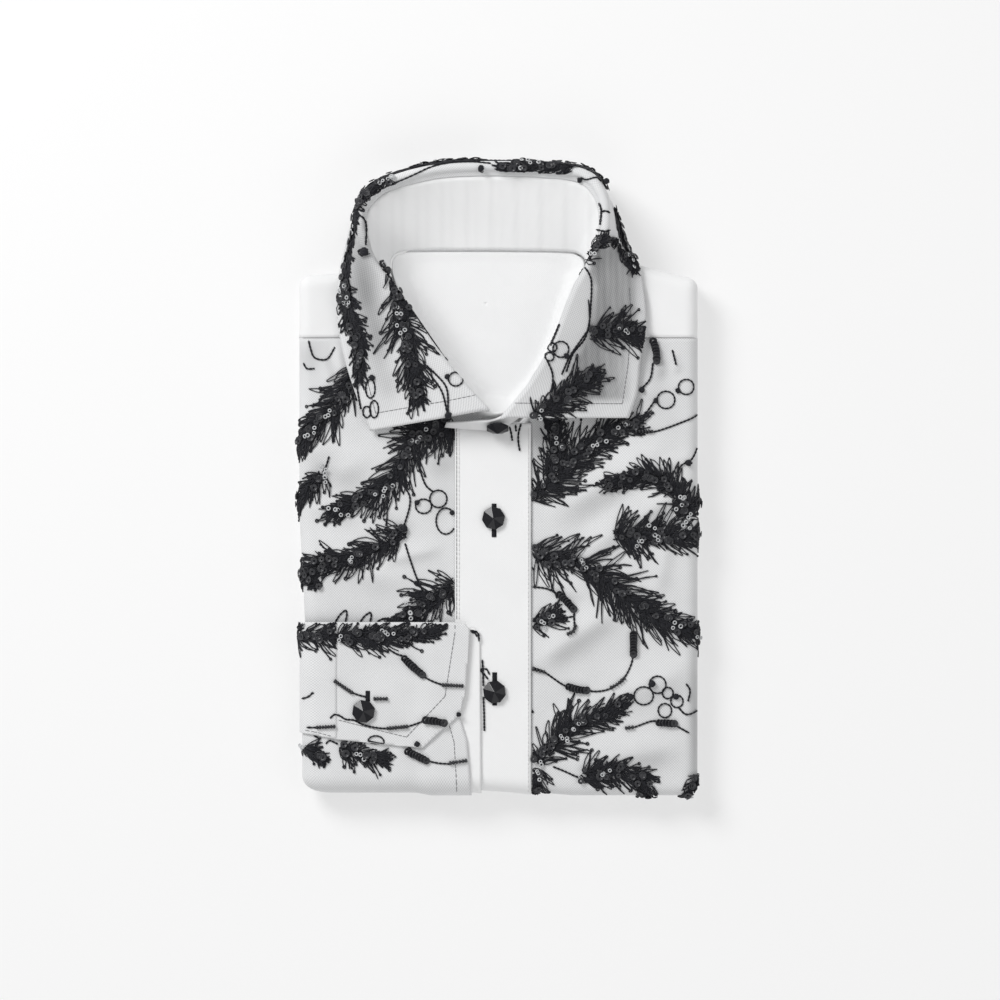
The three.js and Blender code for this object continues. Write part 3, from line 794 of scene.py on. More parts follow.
def yoke(name, side, edge, neck_side, shelf, shelf_start):
    """Half of the outer yoke, which follows the neckline and ends at a shelf behind the neck."""

    def limit(t):
        return mixed(neckline(t, neck_side), shelf, smooth(t, shelf_start, SHELF_TOP))

    bottom = YOKE_SEAM + SEAM_GAP / 2
    shoulder_piece(name, white_cloth, yoke_face, side, edge, bottom, FOLD_TOP, limit)


def yoke_right():
    yoke("yoke_right", -FOLD_SIDE, YOKE_EDGES[0], "left", SHELF_LEFT, shelf_start=114)


def yoke_left():
    yoke("yoke_left", FOLD_SIDE, YOKE_EDGES[1], "right", SHELF_RIGHT, shelf_start=112)


def placket():
    def shape(s, t):
        return np.stack([s, t], axis=-1), placket_face(s, t, 0)

    size = (PLACKET_RIGHT - PLACKET_LEFT, FOLD_BOTTOM + PLACKET_TOP)
    cloth = cut_cloth(PLACKET_LEFT, PLACKET_RIGHT, -FOLD_BOTTOM, PLACKET_TOP, PLACKET_STEP)
    laid_cloth("placket", cloth, shape, white_cloth, PLACKET_CLOTH_WALL, size)


# Cuff pieces, cut to their outlines before they are laid
def cuff_layer(folds, beside, within):
    """The face of a cuff layer: its lift beside the side fold and within it, and up over the placket."""

    def rise(s, t):
        return mixed(beside, within, smooth(s, *SIDE_RISE)) + PLACKET_LIFT * smooth(s, *PLACKET_RISE)

    return face_on_pile(folds, rise)


cuff_face = cuff_layer(("left",), UNDERLAP_LIFT, CUFF_LIFT)
underlap_face = cuff_layer(("left", "bottom"), FACING_LIFT, UNDERLAP_LIFT)
facing_face = cuff_layer(("bottom",), FACING_LIFT, FACING_LIFT)


CUFF_OUTLINE = [
    (CUFF_SEAM, CUFF_TOP), (-24, CUFF_TOP), (-17.5, -78.6), (-15.4, -82.4),
    (-18.1, -116.5), (-21.4, -127.8), (-41.3, -145.7), (CUFF_SEAM, CUFF_FOOT),
]
SLEEVE_OUTLINE = [
    (-125, CUFF_TOP), (CUFF_SEAM, CUFF_TOP), (CUFF_SEAM, CUFF_FOOT), (-125, -134.5),
]
FACING_OUTLINE = [
    (FACING_LEFT, FACING_TOP), (-13, FACING_TOP), (-10.2, -83), (-9.2, -185), (FACING_LEFT, -185),
]
# The underlap's right edge: t, s
UNDERLAP_RIGHT = [(-108, -22), (-127.8, -21.6), (-144, -17), (-185, -13.8)]


def cuff_piece(name, outline, low, high, face, finish):
    """Cloth cut to an outline from the rectangle between its lowest and highest corner."""

    def shape(s, t):
        return np.stack([s, t], axis=-1), face(s, t, 0)

    cloth = cut_cloth(low[0], high[0], low[1], high[1], CUFF_STEP)
    trim(cloth, outline)
    size = (high[0] - low[0], high[1] - low[1])
    laid_cloth(name, cloth, shape, finish, CUFF_CLOTH_WALL, size)


def sleeve():
    low = (-FOLD_SIDE, CUFF_FOOT)
    high = (CUFF_SEAM, CUFF_TOP)
    cuff_piece("sleeve_right", SLEEVE_OUTLINE, low, high, cuff_face, pale_cloth)


def cuff():
    low = (CUFF_SEAM, -146)
    high = (-15, CUFF_TOP)
    cuff_piece("cuff_right", CUFF_OUTLINE, low, high, cuff_face, pale_cloth)


def cuff_facing():
    low = (FACING_LEFT, -FOLD_BOTTOM + FOLD_DROP)
    high = (-9, FACING_TOP)
    cuff_piece("cuff_facing", FACING_OUTLINE, low, high, facing_face, white_cloth)


def cuff_underlap():
    low = (-FOLD_SIDE + FOLD_DROP, -FOLD_BOTTOM + FOLD_DROP)
    high = (-14, -108)
    edge = np.array(UNDERLAP_RIGHT[::-1], dtype=float)

    def shape(s, t):
        s = fitted(s, low[0], high[0], np.interp(t, edge[:, 0], edge[:, 1]))
        return np.stack([s, t], axis=-1), underlap_face(s, t, 0)

    cloth = cut_cloth(low[0], high[0], low[1], high[1], CUFF_STEP)
    size = (high[0] - low[0], high[1] - low[1])
    laid_cloth("cuff_underlap", cloth, shape, pale_cloth, CUFF_CLOTH_WALL, size)


# Hidden layers. Each ring down their sides: how far in it lies, and its height as a share
LIPS = [
    (3.0, 0.97), (1.6, 0.93), (1.1, 0.87), (0.9, 0.81), (1.2, 0.74), (2.0, 0.69),
    (3.0, 0.65), (1.4, 0.61), (0.8, 0.56), (0.6, 0.49), (0.9, 0.42), (1.8, 0.37),
    (3.0, 0.33), (1.8, 0.28), (1.3, 0.22), (1.2, 0.14), (1.5, 0.05), (2.2, 0.0),
]


def folded_layers():
    """The pile's top face, with the neck's hollow, and rings of lips down round its sides."""
    depth = FRONT_WALL + CORE_GAP
    reach = QUARTER - FOLD_RADIUS
    side = HALF_WIDTH + reach
    cloth = cut_cloth(-side, side, -HALF_LENGTH - reach, TOP_NOMINAL + reach, LAYERS_STEP)
    s_layer = cloth.verts.layers.float.new("s")
    t_layer = cloth.verts.layers.float.new("t")

    def shape(s, t):
        places = np.stack([s, t], axis=-1)
        s, t = fit_to_edges(s, t, ("left", "bottom", "top"))
        points = pile(s, t, -depth)
        behind = (t > SHELF_START) & (s > SHELF_LEFT) & (s < SHELF_RIGHT)
        between = (s > neckline(t, "left")) & (s < neckline(t, "right"))
        hollow = behind | ((t > NECK_FRONT) & between & (t < SHELF_TOP))
        points[:, 2] = np.where(hollow, np.minimum(points[:, 2], PIT_FLOOR), points[:, 2])
        for vert, fitted_s, fitted_t in zip(cloth.verts, s, t):
            vert[s_layer] = fitted_s
            vert[t_layer] = fitted_t
        return places, points

    lay(cloth, shape)
    rim = [edge for edge in cloth.edges if edge.is_boundary]
    for inset, level in LIPS:
        verts, rim = grow(cloth, rim)
        s = np.array([vert[s_layer] for vert in verts])
        t = np.array([vert[t_layer] for vert in verts])
        points = pile(s, t, -inset)
        points[:, 2] = (pile_height(t) - FOLD_RADIUS - FOLD_DROP) * level
        for vert, point in zip(verts, points):
            vert.co = point
    bmesh.ops.contextual_create(cloth, geom=rim)
    bmesh.ops.recalc_face_normals(cloth, faces=cloth.faces)
    finish_piece("folded_layers_cloth", cloth, white_cloth, "folded_back_and_sleeves")


# Collar
def through(points, count):
    """Centripetal Catmull-Rom line through the rows of a table, at even shares."""
    rows = np.array(points, dtype=float)
    padded = np.vstack([2 * rows[0] - rows[1], rows, 2 * rows[-1] - rows[-2]])
    at = np.linspace(0, len(rows) - 1, count)
    index = np.minimum(at.astype(int), len(rows) - 2)
    weight = (at - index)[:, None]
    p0, p1, p2, p3 = (padded[index + offset] for offset in range(4))

    def gap(a, b):
        return np.maximum(np.linalg.norm(b - a, axis=1, keepdims=True), 1e-4) ** 0.5

    d0, d1, d2 = gap(p0, p1), gap(p1, p2), gap(p2, p3)
    start = ((p1 - p0) / d0 - (p2 - p0) / (d0 + d1) + (p2 - p1) / d1) * d1
    end = ((p2 - p1) / d1 - (p3 - p1) / (d1 + d2) + (p3 - p2) / d2) * d1
    cube = 2 * p1 - 2 * p2 + start + end
    square = -3 * p1 + 3 * p2 - 2 * start - end
    return cube * weight ** 3 + square * weight ** 2 + start * weight + p1


def collar_lines(count):
    """The stand's lower edge, the roll's top and the leaf's edge."""
    return [through(COLLAR[line], count) for line in ("band", "roll", "edge")]


LEG_ROWS = 4
ARC_ROWS = 9
FALL_ROWS = 30
# Least and greatest slope at which the roll ends, in degrees
ROLL_ENDS = (4, 70)


def leaf_sections(count):
    """Points (columns, rows, 3) up from the stand, over the roll and down to the leaf's edge."""
    band, roll, edge = collar_lines(count)
    outward = edge - roll
    outward[:, 2] = 0
    outward = unit(outward)
    up = np.array((0, 0, 1.0))
    centre = roll + outward * ROLL_RADIUS - up * ROLL_RADIUS

    def on_roll(angle):
        return centre + ROLL_RADIUS * (outward * np.cos(angle) + up * np.sin(angle))

    inside = on_roll(np.full((count, 1), math.pi))
    leg_end = inside + unit(band - inside) * INNER_LEG
    across = np.sum((edge - centre) * outward, axis=1, keepdims=True)
    slope = np.arctan2(across, (centre - edge)[:, 2:3])
    last = np.clip(slope, *np.radians(ROLL_ENDS))
    rows = [mixed(leg_end, inside, k / LEG_ROWS) for k in range(LEG_ROWS)]
    rows += [on_roll(mixed(math.pi, last, k / ARC_ROWS)) for k in range(ARC_ROWS + 1)]
    fall = rows[-1]
    for k in range(1, FALL_ROWS + 1):
        part = k / FALL_ROWS
        rows.append(mixed(fall, edge, part) + up * LEAF_BOW * math.sin(math.pi * part))
    return np.stack(rows, axis=1)


def sheet_from_points(points):
    """A grid whose points are moved to a given array of columns and rows, with a true-length UV map."""
    columns, rows = points.shape[:2]
    cloth = bmesh.new()
    bmesh.ops.create_grid(cloth, x_segments=columns - 1, y_segments=rows - 1, size=0.5)
    steps_u = np.linalg.norm(np.diff(points, axis=0), axis=2).mean(axis=1)
    steps_v = np.linalg.norm(np.diff(points, axis=1), axis=2)
    along_u = np.concatenate([[0], np.cumsum(steps_u)])
    along_v = np.concatenate([np.zeros((columns, 1)), np.cumsum(steps_v, axis=1)], axis=1)
    layer = cloth.loops.layers.uv.new("cloth")
    index = {}
    for vert in cloth.verts:
        column = round((vert.co.x + 0.5) * (columns - 1))
        row = round((vert.co.y + 0.5) * (rows - 1))
        index[vert] = (column, row)
    for face in cloth.faces:
        for loop in face.loops:
            column, row = index[loop.vert]
            loop[layer].uv = (along_u[column], along_v[column, row])
    for vert, (column, row) in index.items():
        vert.co = points[column, row]
    cloth.normal_update()
    return cloth


def grid_normals(points):
    along = np.gradient(points, axis=0)
    across = np.gradient(points, axis=1)
    return unit(np.cross(along, across))


def leaf_face():
    points = leaf_sections(COLLAR_COLUMNS)
    normals = grid_normals(points)
    columns, rows = points.shape[:2]
    u = np.linspace(0, 1, columns)[:, None]
    v = np.linspace(0, 1, rows)[None, :]
    fall = smooth(v, 0.35, 0.6) * (1 - smooth(v, 0.85, 1.0))
    wave = 0.5 * np.sin(u * 31 + 1.3) + 0.35 * np.sin(u * 53 + v * 4) + 0.3 * np.sin(u * 17 - v * 6)
    pucker = 0.16 * np.sin(u * 190) * np.sin(u * 61 + 1) * (1 - smooth(v, 0.1, 0.3))
    return points + normals * (wave * fall * 0.8 + pucker)[:, :, None]


def collar_leaf():
    cloth = sheet_from_points(leaf_face())
    piece = finish_piece("collar_leaf_cloth", cloth, pale_cloth, "collar_leaf", LEAF_CLOTH_WALL)
    state_sheet(LEAF_FLAT, LEAF_FILLS)


def stand_edges():
    """Lower and upper edge of the stand, from its under end round to its upper end."""
    count = 80
    band = through(COLLAR["band"], count)
    leg_end = leaf_sections(count)[:, 0]
    top = leg_end + unit(band - leg_end) * LAYER_GAP
    edges = []
    for side, line in enumerate((band, top)):
        under_end = [row[side] for row in STAND_UNDER_END]
        upper_end = [row[side] for row in STAND_UPPER_END]
        edges.append(through(under_end + list(line[::2]) + upper_end, COLLAR_COLUMNS))
    return edges


def stand_face():
    low, high = stand_edges()
    v = np.linspace(0, 1, STAND_ROWS + 1)[None, :]
    points = mixed(low[:, None, :], high[:, None, :], v[:, :, None])
    normals = grid_normals(points)
    u = np.linspace(0, 1, COLLAR_COLUMNS)[:, None]
    pucker = 0.22 * np.sin(u * 210) * np.sin(u * 47 + 2) * smooth(v, 0.55, 1.0)
    soft = 0.5 * np.sin(u * 39 + v * 2) * np.sin(math.pi * v)
    quiet = smooth(u, 0.02, 0.1) * (1 - smooth(u, 0.88, 0.95))
    return points + normals * ((pucker + soft) * quiet)[:, :, None]


def collar_stand():
    cloth = sheet_from_points(stand_face())
    piece = finish_piece("collar_stand_cloth", cloth, white_cloth, "collar_stand", STAND_CLOTH_WALL)
    state_sheet(STAND_FLAT, STAND_FILLS)


def neck_rim(count):
    """Closed line just inside the stand's lower edge, for the inside of the yoke."""
    rim = through(COLLAR["band"], count)
    run = unit(np.gradient(rim, axis=0) * (1, 1, 0))
    rim[:, 0] += run[:, 1] * INSIDE_STAND
    rim[:, 1] -= run[:, 0] * INSIDE_STAND
    closing = mixed(rim[-1], rim[0], np.linspace(0, 1, 8)[1:, None])
    return np.vstack([rim, closing])


def yoke_inside():
    """Rings from a middle out to the neck's rim, level and then rising to the stand."""
    rim = neck_rim(120)
    rings = np.concatenate([np.linspace(0.001, 0.78, 22), np.linspace(0.8, 1, 14)])[None, :, None]
    centre = np.array((*NECK_CENTRE, YOKE_FLOOR))
    flat_rim = rim.copy()
    flat_rim[:, 2] = YOKE_FLOOR
    points = mixed(centre, flat_rim[:, None, :], rings)
    rise = np.maximum(rim[:, 2] - 1 - YOKE_FLOOR, 0)[:, None] * smooth(rings[:, :, 0], 0.78, 1)
    swell = 0.25 * np.sin(points[:, :, 0] / 9) * np.sin(points[:, :, 1] / 12)
    points[:, :, 2] += rise + np.maximum(swell, 0) * (1 - smooth(rings[:, :, 0], 0.6, 0.9))
    cloth = sheet_from_points(points)
    layer = cloth.loops.layers.uv["cloth"]
    for face in cloth.faces:
        for loop in face.loops:
            loop[layer].uv = loop.vert.co.xy
    bmesh.ops.remove_doubles(cloth, verts=cloth.verts, dist=0.02)
    bmesh.ops.dissolve_degenerate(cloth, edges=cloth.edges, dist=0.001)
    cloth.normal_update()
    face_up(cloth)
    piece = finish_piece("yoke_inside_cloth", cloth, white_cloth, "yoke_inside", CLOTH_WALL)
    state_sheet(INNER_YOKE_FLAT, INNER_YOKE_FILLS)


# Crystal buttons: eight facets that meet at a point over a low rim
BUTTON_RADIUS = 6.35
BUTTON_RIM = 1.7
BUTTON_HEIGHT = 4.6
BUTTON_FACETS = 8
BUTTON_FOOT = 0.86
BUTTON_BEVEL = 0.12
BUTTON_SHARP_ANGLE = 0.2


def rotation(degrees, axis):
    return Matrix.Rotation(math.radians(degrees), 3, axis)


def button(name, centre, lean, turn):
    crystal = bmesh.new()
    foot = BUTTON_RADIUS * BUTTON_FOOT
    bmesh.ops.create_circle(crystal, cap_ends=True, segments=BUTTON_FACETS, radius=foot)
    bmesh.ops.reverse_faces(crystal, faces=crystal.faces)
    side = crystal.edges[:]
    for height in (BUTTON_RIM / 2, BUTTON_RIM):
        verts, side = grow(crystal, side)
        for vert in verts:
            vert.co = Vector((vert.co.x, vert.co.y, 0)).normalized() * BUTTON_RADIUS
            vert.co.z = height
    tip = grow(crystal, side)[0]
    bmesh.ops.pointmerge(crystal, verts=tip, merge_co=(0, 0, BUTTON_HEIGHT))
    bmesh.ops.recalc_face_normals(crystal, faces=crystal.faces)
    edges = [edge for edge in crystal.edges if edge.calc_face_angle(0) > BUTTON_SHARP_ANGLE]
    bmesh.ops.bevel(
        crystal,
        geom=edges,
        offset=BUTTON_BEVEL,
        segments=1,
        affect="EDGES",
        profile=0.5,
        material=-1,
    )
    for degrees, axis in ((turn, "Z"), (lean, "X")):
        matrix = rotation(degrees, axis)
        bmesh.ops.rotate(crystal, cent=(0, 0, 0), matrix=matrix, verts=crystal.verts)
    bmesh.ops.translate(crystal, vec=centre, verts=crystal.verts)
    piece = finish_piece(name + "_crystal", crystal, black_crystal, name)
    for face in piece.data.polygons:
        face.use_smooth = False


# Buttons that lie flat: name, place seen from above, lift over the pile, and turn
BUTTONS = [
    ("button_placket_1", (-2.7, -21.4), PLACKET_LIFT, 9),
    ("button_placket_2", (-2.2, -115.4), PLACKET_LIFT, 30),
    ("button_cuff", (-72.9, -125.8), CUFF_LIFT, 14),
]
COLLAR_BUTTON_PLACE = (-0.5, 28.1, 31.7)
COLLAR_BUTTON_LEAN = 64
COLLAR_BUTTON_TURN = 22


def sew_buttons():
    for name, place, lift, turn in BUTTONS:
        seat = pile(np.array(place[0]), np.array(place[1]), lift + LAYER_GAP)
        button(name, tuple(seat), 0, turn)
    button("button_collar", COLLAR_BUTTON_PLACE, COLLAR_BUTTON_LEAN, COLLAR_BUTTON_TURN)


# Thread, beads and sequins. Places are millimetres on a cloth piece, as seen from above,
# and on the collar's fall along it and down from its roll.
NEEDLE_PITCH = 0.56
NEEDLE_RADIUS = 0.33
NEEDLE_GAP = (1.3, 2.5)
NEEDLE_SINGLE = 0.35
NEEDLE_LIFT = 0.32
# Degrees from the spine at its start and at its tip, and how far a needle bends
NEEDLE_LEAN = (64, 24)
NEEDLE_BEND = (-8, 44)
LONG_NEEDLES = 0.08
# A hairpin's places along its line, and how wide it is open there
HAIRPIN_SHARES = np.array((0, 0.28, 0.55, 0.8, 1.0))
HAIRPIN_WIDTHS = np.array((0.5, 0.95, 1.1, 0.85, 0.3))
HAIRPIN_WAVER = 0.14
HAIRPIN_TIP = 0.35
KNOB_LIFT = 0.45
TIP_KNOBS = 0.3
CORE_PITCH = 0.27
CORE_RADIUS = 0.5
SEQUIN_PITCH = 3.0
CLUSTER_PITCH = 36
KNOT_THREADS = 9
CORD_RADIUS = 0.36
CORD_TWIST = 4.2
CORD_STEP = 0.8
STITCH_PITCH = 2.4
STITCH_LENGTH = 2.15
STITCH_RADIUS = 0.2
HOLE_PITCH = 0.42
HOLE_HALF_WIDTH = 1.25
LINE_SAMPLES = 26
NORMAL_STEP = 0.6
TUBE_SIDES = 3

# Closed outlines of small turned things: radius, height
SEQUIN = [(0.26, 0.0), (1.0, 0.16), (1.0, 0.3), (0.8, 0.27), (0.68, 0.1), (0.46, 0.14), (0.26, 0.05)]
RING = [(0.42, 0.0), (0.6, -0.25), (1.0, 0.0), (0.72, 0.32)]
BEAD = [(0.28, -0.62), (0.86, -0.5), (1.0, 0.0), (0.86, 0.5), (0.28, 0.62)]
KNOT = [(0.05, -0.5), (0.8, -0.4), (1.0, 0.0), (0.75, 0.5), (0.05, 0.7)]


# Joining many small shapes in one mesh
def joined(chunks):
    """One list of corners and one of faces, from chunks that each count from nought."""
    corners = np.concatenate([chunk[0] for chunk in chunks])
    faces = []
    start = 0
    for chunk_corners, chunk_faces in chunks:
        for block in chunk_faces:
            faces += (block + start).tolist()
        start += len(chunk_corners)
    return corners, faces


def tubes(paths, radii):
    """Thin tubes along paths, an array of (many, points, 3), closed at both ends."""
    many, points = paths.shape[:2]
    run = unit(np.gradient(paths, axis=1))
    aside = unit(np.cross(run, np.array((0.17, 0.11, 0.98))))
    upward = np.cross(aside, run)
    angles = np.arange(TUBE_SIDES) / TUBE_SIDES * 2 * math.pi
    radii = np.broadcast_to(radii, (points,))[None, :, None, None]
    cos = np.cos(angles)[None, None, :, None]
    sin = np.sin(angles)[None, None, :, None]
    corners = paths[:, :, None, :] + radii * (cos * aside[:, :, None, :] + sin * upward[:, :, None, :])
    index = np.arange(many * points * TUBE_SIDES).reshape(many, points, TUBE_SIDES)
    turned = np.roll(index, -1, axis=2)
    sides = np.stack([index[:, :-1], index[:, 1:], turned[:, 1:], turned[:, :-1]], axis=-1).reshape(-1, 4)
    ends = np.concatenate([index[:, 0], index[:, -1, ::-1]])
    return corners.reshape(-1, 3), [sides, ends]


def turned_shapes(outline, centres, axes, sizes, sides=10):
    """Copies of a small turned shape, one at each centre, along its axis."""
    outline = np.array(outline)
    many = len(centres)
    aside = unit(np.cross(axes, np.array((0.23, 0.91, 0.12))))
    other = np.cross(axes, aside)
    angles = np.arange(sides) / sides * 2 * math.pi
    cos = np.cos(angles)[None, :, None]
    sin = np.sin(angles)[None, :, None]
    rim = cos * aside[:, None, :] + sin * other[:, None, :]
    radial = outline[None, :, 0, None, None] * rim[:, None, :, :]
    rise = outline[None, :, 1, None, None] * axes[:, None, None, :]
    corners = centres[:, None, None, :] + np.reshape(sizes, (-1, 1, 1, 1)) * (radial + rise)
    index = np.arange(many * len(outline) * sides).reshape(many, len(outline), sides)
    after = np.roll(index, -1, axis=1)
    faces = np.stack([index, np.roll(index, -1, axis=2), np.roll(after, -1, axis=2), after], axis=-1)
    return corners.reshape(-1, 3), [faces.reshape(-1, 4)]


class Seat:
    """A cloth face that thread lies on: surface(s, t, lift) gives points, inside(s, t) its bounds."""

    def __init__(self, surface, inside):
        self.surface = surface
        self.inside = inside
        self.threads = []
        self.dark_discs = []
        self.light_discs = []

    def at(self, places, lift):
        return self.surface(places[..., 0], places[..., 1], lift)

    def normals(self, places):
        s, t = places[..., 0], places[..., 1]
        step = NORMAL_STEP
        along = self.surface(s + step, t, 0) - self.surface(s - step, t, 0)
        across = self.surface(s, t + step, 0) - self.surface(s, t - step, 0)
        return unit(np.cross(along, across))

    def sew(self, places, lift, radii):
        self.threads.append(tubes(self.at(places, lift), radii))


# Meeting the leaf from above: least upward part of its normal, height to look from, height to seek
# its nearest place at, how far past it thread may hang and may start, and how low it may then lie
STEEPEST = 0.4
LOOK_FROM = 90
SEEK_AT = 32
OVERHANG = 2
BESIDE_LEAF = 1.2
LEAF_LOWEST = 20

# The collar's fall as unrolled: share of its length where the back's middle is, length and depth
FALL_MIDDLE = 0.47
FALL_LENGTH = 460
FALL_DEPTH = 48


class SeenFromAbove(Seat):
    """A face made of a grid of points, met by looking straight down."""

    def __init__(self, points):
        columns, rows = points.shape[:2]
        index = np.arange(columns * rows).reshape(columns, rows)
        quads = np.stack([index[:-1, :-1], index[1:, :-1], index[1:, 1:], index[:-1, 1:]], axis=-1)
        self.tree = BVHTree.FromPolygons(points.reshape(-1, 3).tolist(), quads.reshape(-1, 4).tolist())
        super().__init__(self.meet, self.within)

    def below(self, x, y):
        point, normal, _, _ = self.tree.ray_cast((x, y, LOOK_FROM), (0, 0, -1))
        return point, normal

    def beside(self, x, y):
        point, normal, _, _ = self.tree.find_nearest((x, y, SEEK_AT))
        return point, normal

    def hit(self, x, y):
        point, normal = self.below(x, y)
        if point is None:
            point, normal = self.beside(x, y)
            over = Vector((x - point.x, y - point.y, 0))
            if over.length > OVERHANG:
                over *= OVERHANG / over.length
            point = point + over
        if normal.z < 0:
            normal = -normal
        return point, normal

    def on_leaf(self, x, y):
        point, normal = self.below(x, y)
        if point is not None:
            return abs(normal.z) > STEEPEST
        nearest = self.beside(x, y)[0]
        return nearest.z > LEAF_LOWEST and math.hypot(nearest.x - x, nearest.y - y) < BESIDE_LEAF

    def meet(self, s, t, lift):
        shape = np.shape(s)
        lifts = np.broadcast_to(lift, shape).ravel()
        found = [self.hit(x, y) for x, y in zip(np.ravel(s).tolist(), np.ravel(t).tolist())]
        points = np.array([point for point, _ in found])
        normals = np.array([normal for _, normal in found])
        return (points + normals * lifts[:, None]).reshape(shape + (3,))

    def within(self, s, t):
        met = [self.on_leaf(x, y) for x, y in zip(np.ravel(s).tolist(), np.ravel(t).tolist())]
        return np.array(met).reshape(np.shape(s))


class Unrolled(Seat):
    """The collar's fall, with places measured along it from the back and down it from the roll."""

    def __init__(self, points):
        self.points = points
        self.normal_grid = grid_normals(points)
        super().__init__(self.unroll, self.within)

    def blended(self, grid, column, row):
        low_column = np.clip(column.astype(int), 0, grid.shape[0] - 2)
        low_row = np.clip(row.astype(int), 0, grid.shape[1] - 2)
        part = np.clip(column - low_column, 0, 1)[..., None]
        rise = np.clip(row - low_row, 0, 1)[..., None]
        near = mixed(grid[low_column, low_row], grid[low_column, low_row + 1], rise)
        far = mixed(grid[low_column + 1, low_row], grid[low_column + 1, low_row + 1], rise)
        return mixed(near, far, part)

    def unroll(self, s, t, lift):
        last_column, last_row = np.array(self.points.shape[:2]) - 1
        column = np.clip((FALL_MIDDLE + np.asarray(s) / FALL_LENGTH) * last_column, 0, last_column)
        row = np.clip(LEG_ROWS + np.asarray(t) / FALL_DEPTH * (last_row - LEG_ROWS), 0, last_row)
        lifts = np.broadcast_to(lift, np.shape(s))[..., None]
        return self.blended(self.points, column, row) + self.blended(self.normal_grid, column, row) * lifts

    def within(self, s, t):
        share = FALL_MIDDLE + s / FALL_LENGTH
        return (share > 0.01) & (share < 0.99) & (t > 0.6) & (t < FALL_DEPTH - 0.8)


def even_line(points, step):
    """A smooth line through a few places, with even steps."""
    fine = through(points, 40 * len(points))
    travelled = np.concatenate([[0], np.cumsum(np.linalg.norm(np.diff(fine, axis=0), axis=1))])
    count = max(3, int(travelled[-1] / step) + 1)
    even = np.linspace(0, travelled[-1], count)
    return np.stack([np.interp(even, travelled, fine[:, axis]) for axis in range(fine.shape[1])], axis=-1)


def headings(line):
    run = np.gradient(line, axis=0)
    return np.unwrap(np.arctan2(run[:, 1], run[:, 0]))


def ahead_of(angle):
    return np.stack([np.cos(angle), np.sin(angle)], axis=-1)


def left_of(angle):
    return np.stack([-np.sin(angle), np.cos(angle)], axis=-1)


def kept_run(seat, lines):
    """Where each line first enters its seat and where it leaves, as shares of the line."""
    mask = seat.inside(lines[..., 0], lines[..., 1])
    samples = mask.shape[1]
    first = mask.argmax(axis=1)
    past = (np.arange(samples)[None] >= first[:, None]) & ~mask
    last = np.where(past.any(axis=1), past.argmax(axis=1) - 1, samples - 1)
    return mask.any(axis=1) & (last - first > 2), first / (samples - 1), last / (samples - 1)


def along_lines(lines, shares):
    """Places at given shares, an array of (many, shares), of lines with evenly spread points."""
    index = shares * (lines.shape[1] - 1)
    low = np.clip(index.astype(int), 0, lines.shape[1] - 2)
    part = (index - low)[..., None]
    rows = np.arange(len(lines))[:, None]
    return mixed(lines[rows, low], lines[rows, low + 1], part)


def curved_lines(base, heading, bend, length):
    """Lines that start at base and turn evenly by bend over their length."""
    steps = np.linspace(0, 1, LINE_SAMPLES)[None, :]
    angle = heading[:, None] + bend[:, None] * steps
    moves = ahead_of(angle) * (length / (LINE_SAMPLES - 1))[:, None, None]
    moves[:, 0] = 0
    return base[:, None, :] + np.cumsum(moves, axis=1)


def hairpins(seat, lines, lift, gap, rng):
    """Threads that run out along each line and back beside it, some with a knob at the tip."""
    kept, first, last = kept_run(seat, lines)
    lines, first, last, lift, gap = lines[kept], first[kept], last[kept], lift[kept], gap[kept]
    if not len(lines):
        return
    shares = first[:, None] + (last - first)[:, None] * HAIRPIN_SHARES[None, :]
    middle = along_lines(lines, shares)
    after = along_lines(lines, np.clip(shares + 0.02, 0, 1))
    before = along_lines(lines, np.clip(shares - 0.02, 0, 1))
    ahead = after - before
    aside = unit(np.stack([-ahead[..., 1], ahead[..., 0]], axis=-1))
    spread = gap[:, None] / 2 * HAIRPIN_WIDTHS[None, :]
    waver = rng.normal(0, HAIRPIN_WAVER, (2,) + spread.shape)
    out_leg = middle + aside * (spread + waver[0])[..., None]
    back_leg = middle - aside * (spread + waver[1])[..., None]
    whole = last > 0.99
    tip = middle[:, -1:] + unit(ahead[:, -1:]) * np.where(whole, HAIRPIN_TIP, 0)[:, None, None]
    path = np.concatenate([out_leg, tip, back_leg[:, ::-1]], axis=1)
    fall = np.concatenate([1 - HAIRPIN_SHARES, [0], (1 - HAIRPIN_SHARES)[::-1]])[None, :]
    seat.sew(path, NEEDLE_LIFT + lift[:, None] * fall, NEEDLE_RADIUS)
    knobs = tip[whole & (rng.random(len(tip)) < TIP_KNOBS), 0]
    for places, outline, size in ((knobs[::2], KNOT, 0.85), (knobs[1::2], RING, 1.1)):
        if len(places):
            sizes = size * rng.uniform(0.85, 1.15, len(places))
            centres = seat.at(places, KNOB_LIFT)
            seat.threads.append(turned_shapes(outline, centres, seat.normals(places), sizes, 7))


class Spine:
    """A sprig's middle line, and random places beside it."""

    def __init__(self, places, rng):
        self.line = even_line(places, 1.0)
        self.turn = headings(self.line)
        self.length = float(len(self.line))
        self.rng = rng

    def spread(self, count, half_width):
        """Shares of the line, places up to half_width from it, and the line's heading there."""
        steps = np.arange(len(self.line))
        along = self.rng.random(count) * steps[-1]
        base = np.stack([np.interp(along, steps, self.line[:, axis]) for axis in (0, 1)], axis=-1)
        heading = np.interp(along, steps, self.turn)
        aside = self.rng.uniform(-half_width, half_width, count)
        return along / steps[-1], base + left_of(heading) * aside[:, None], heading


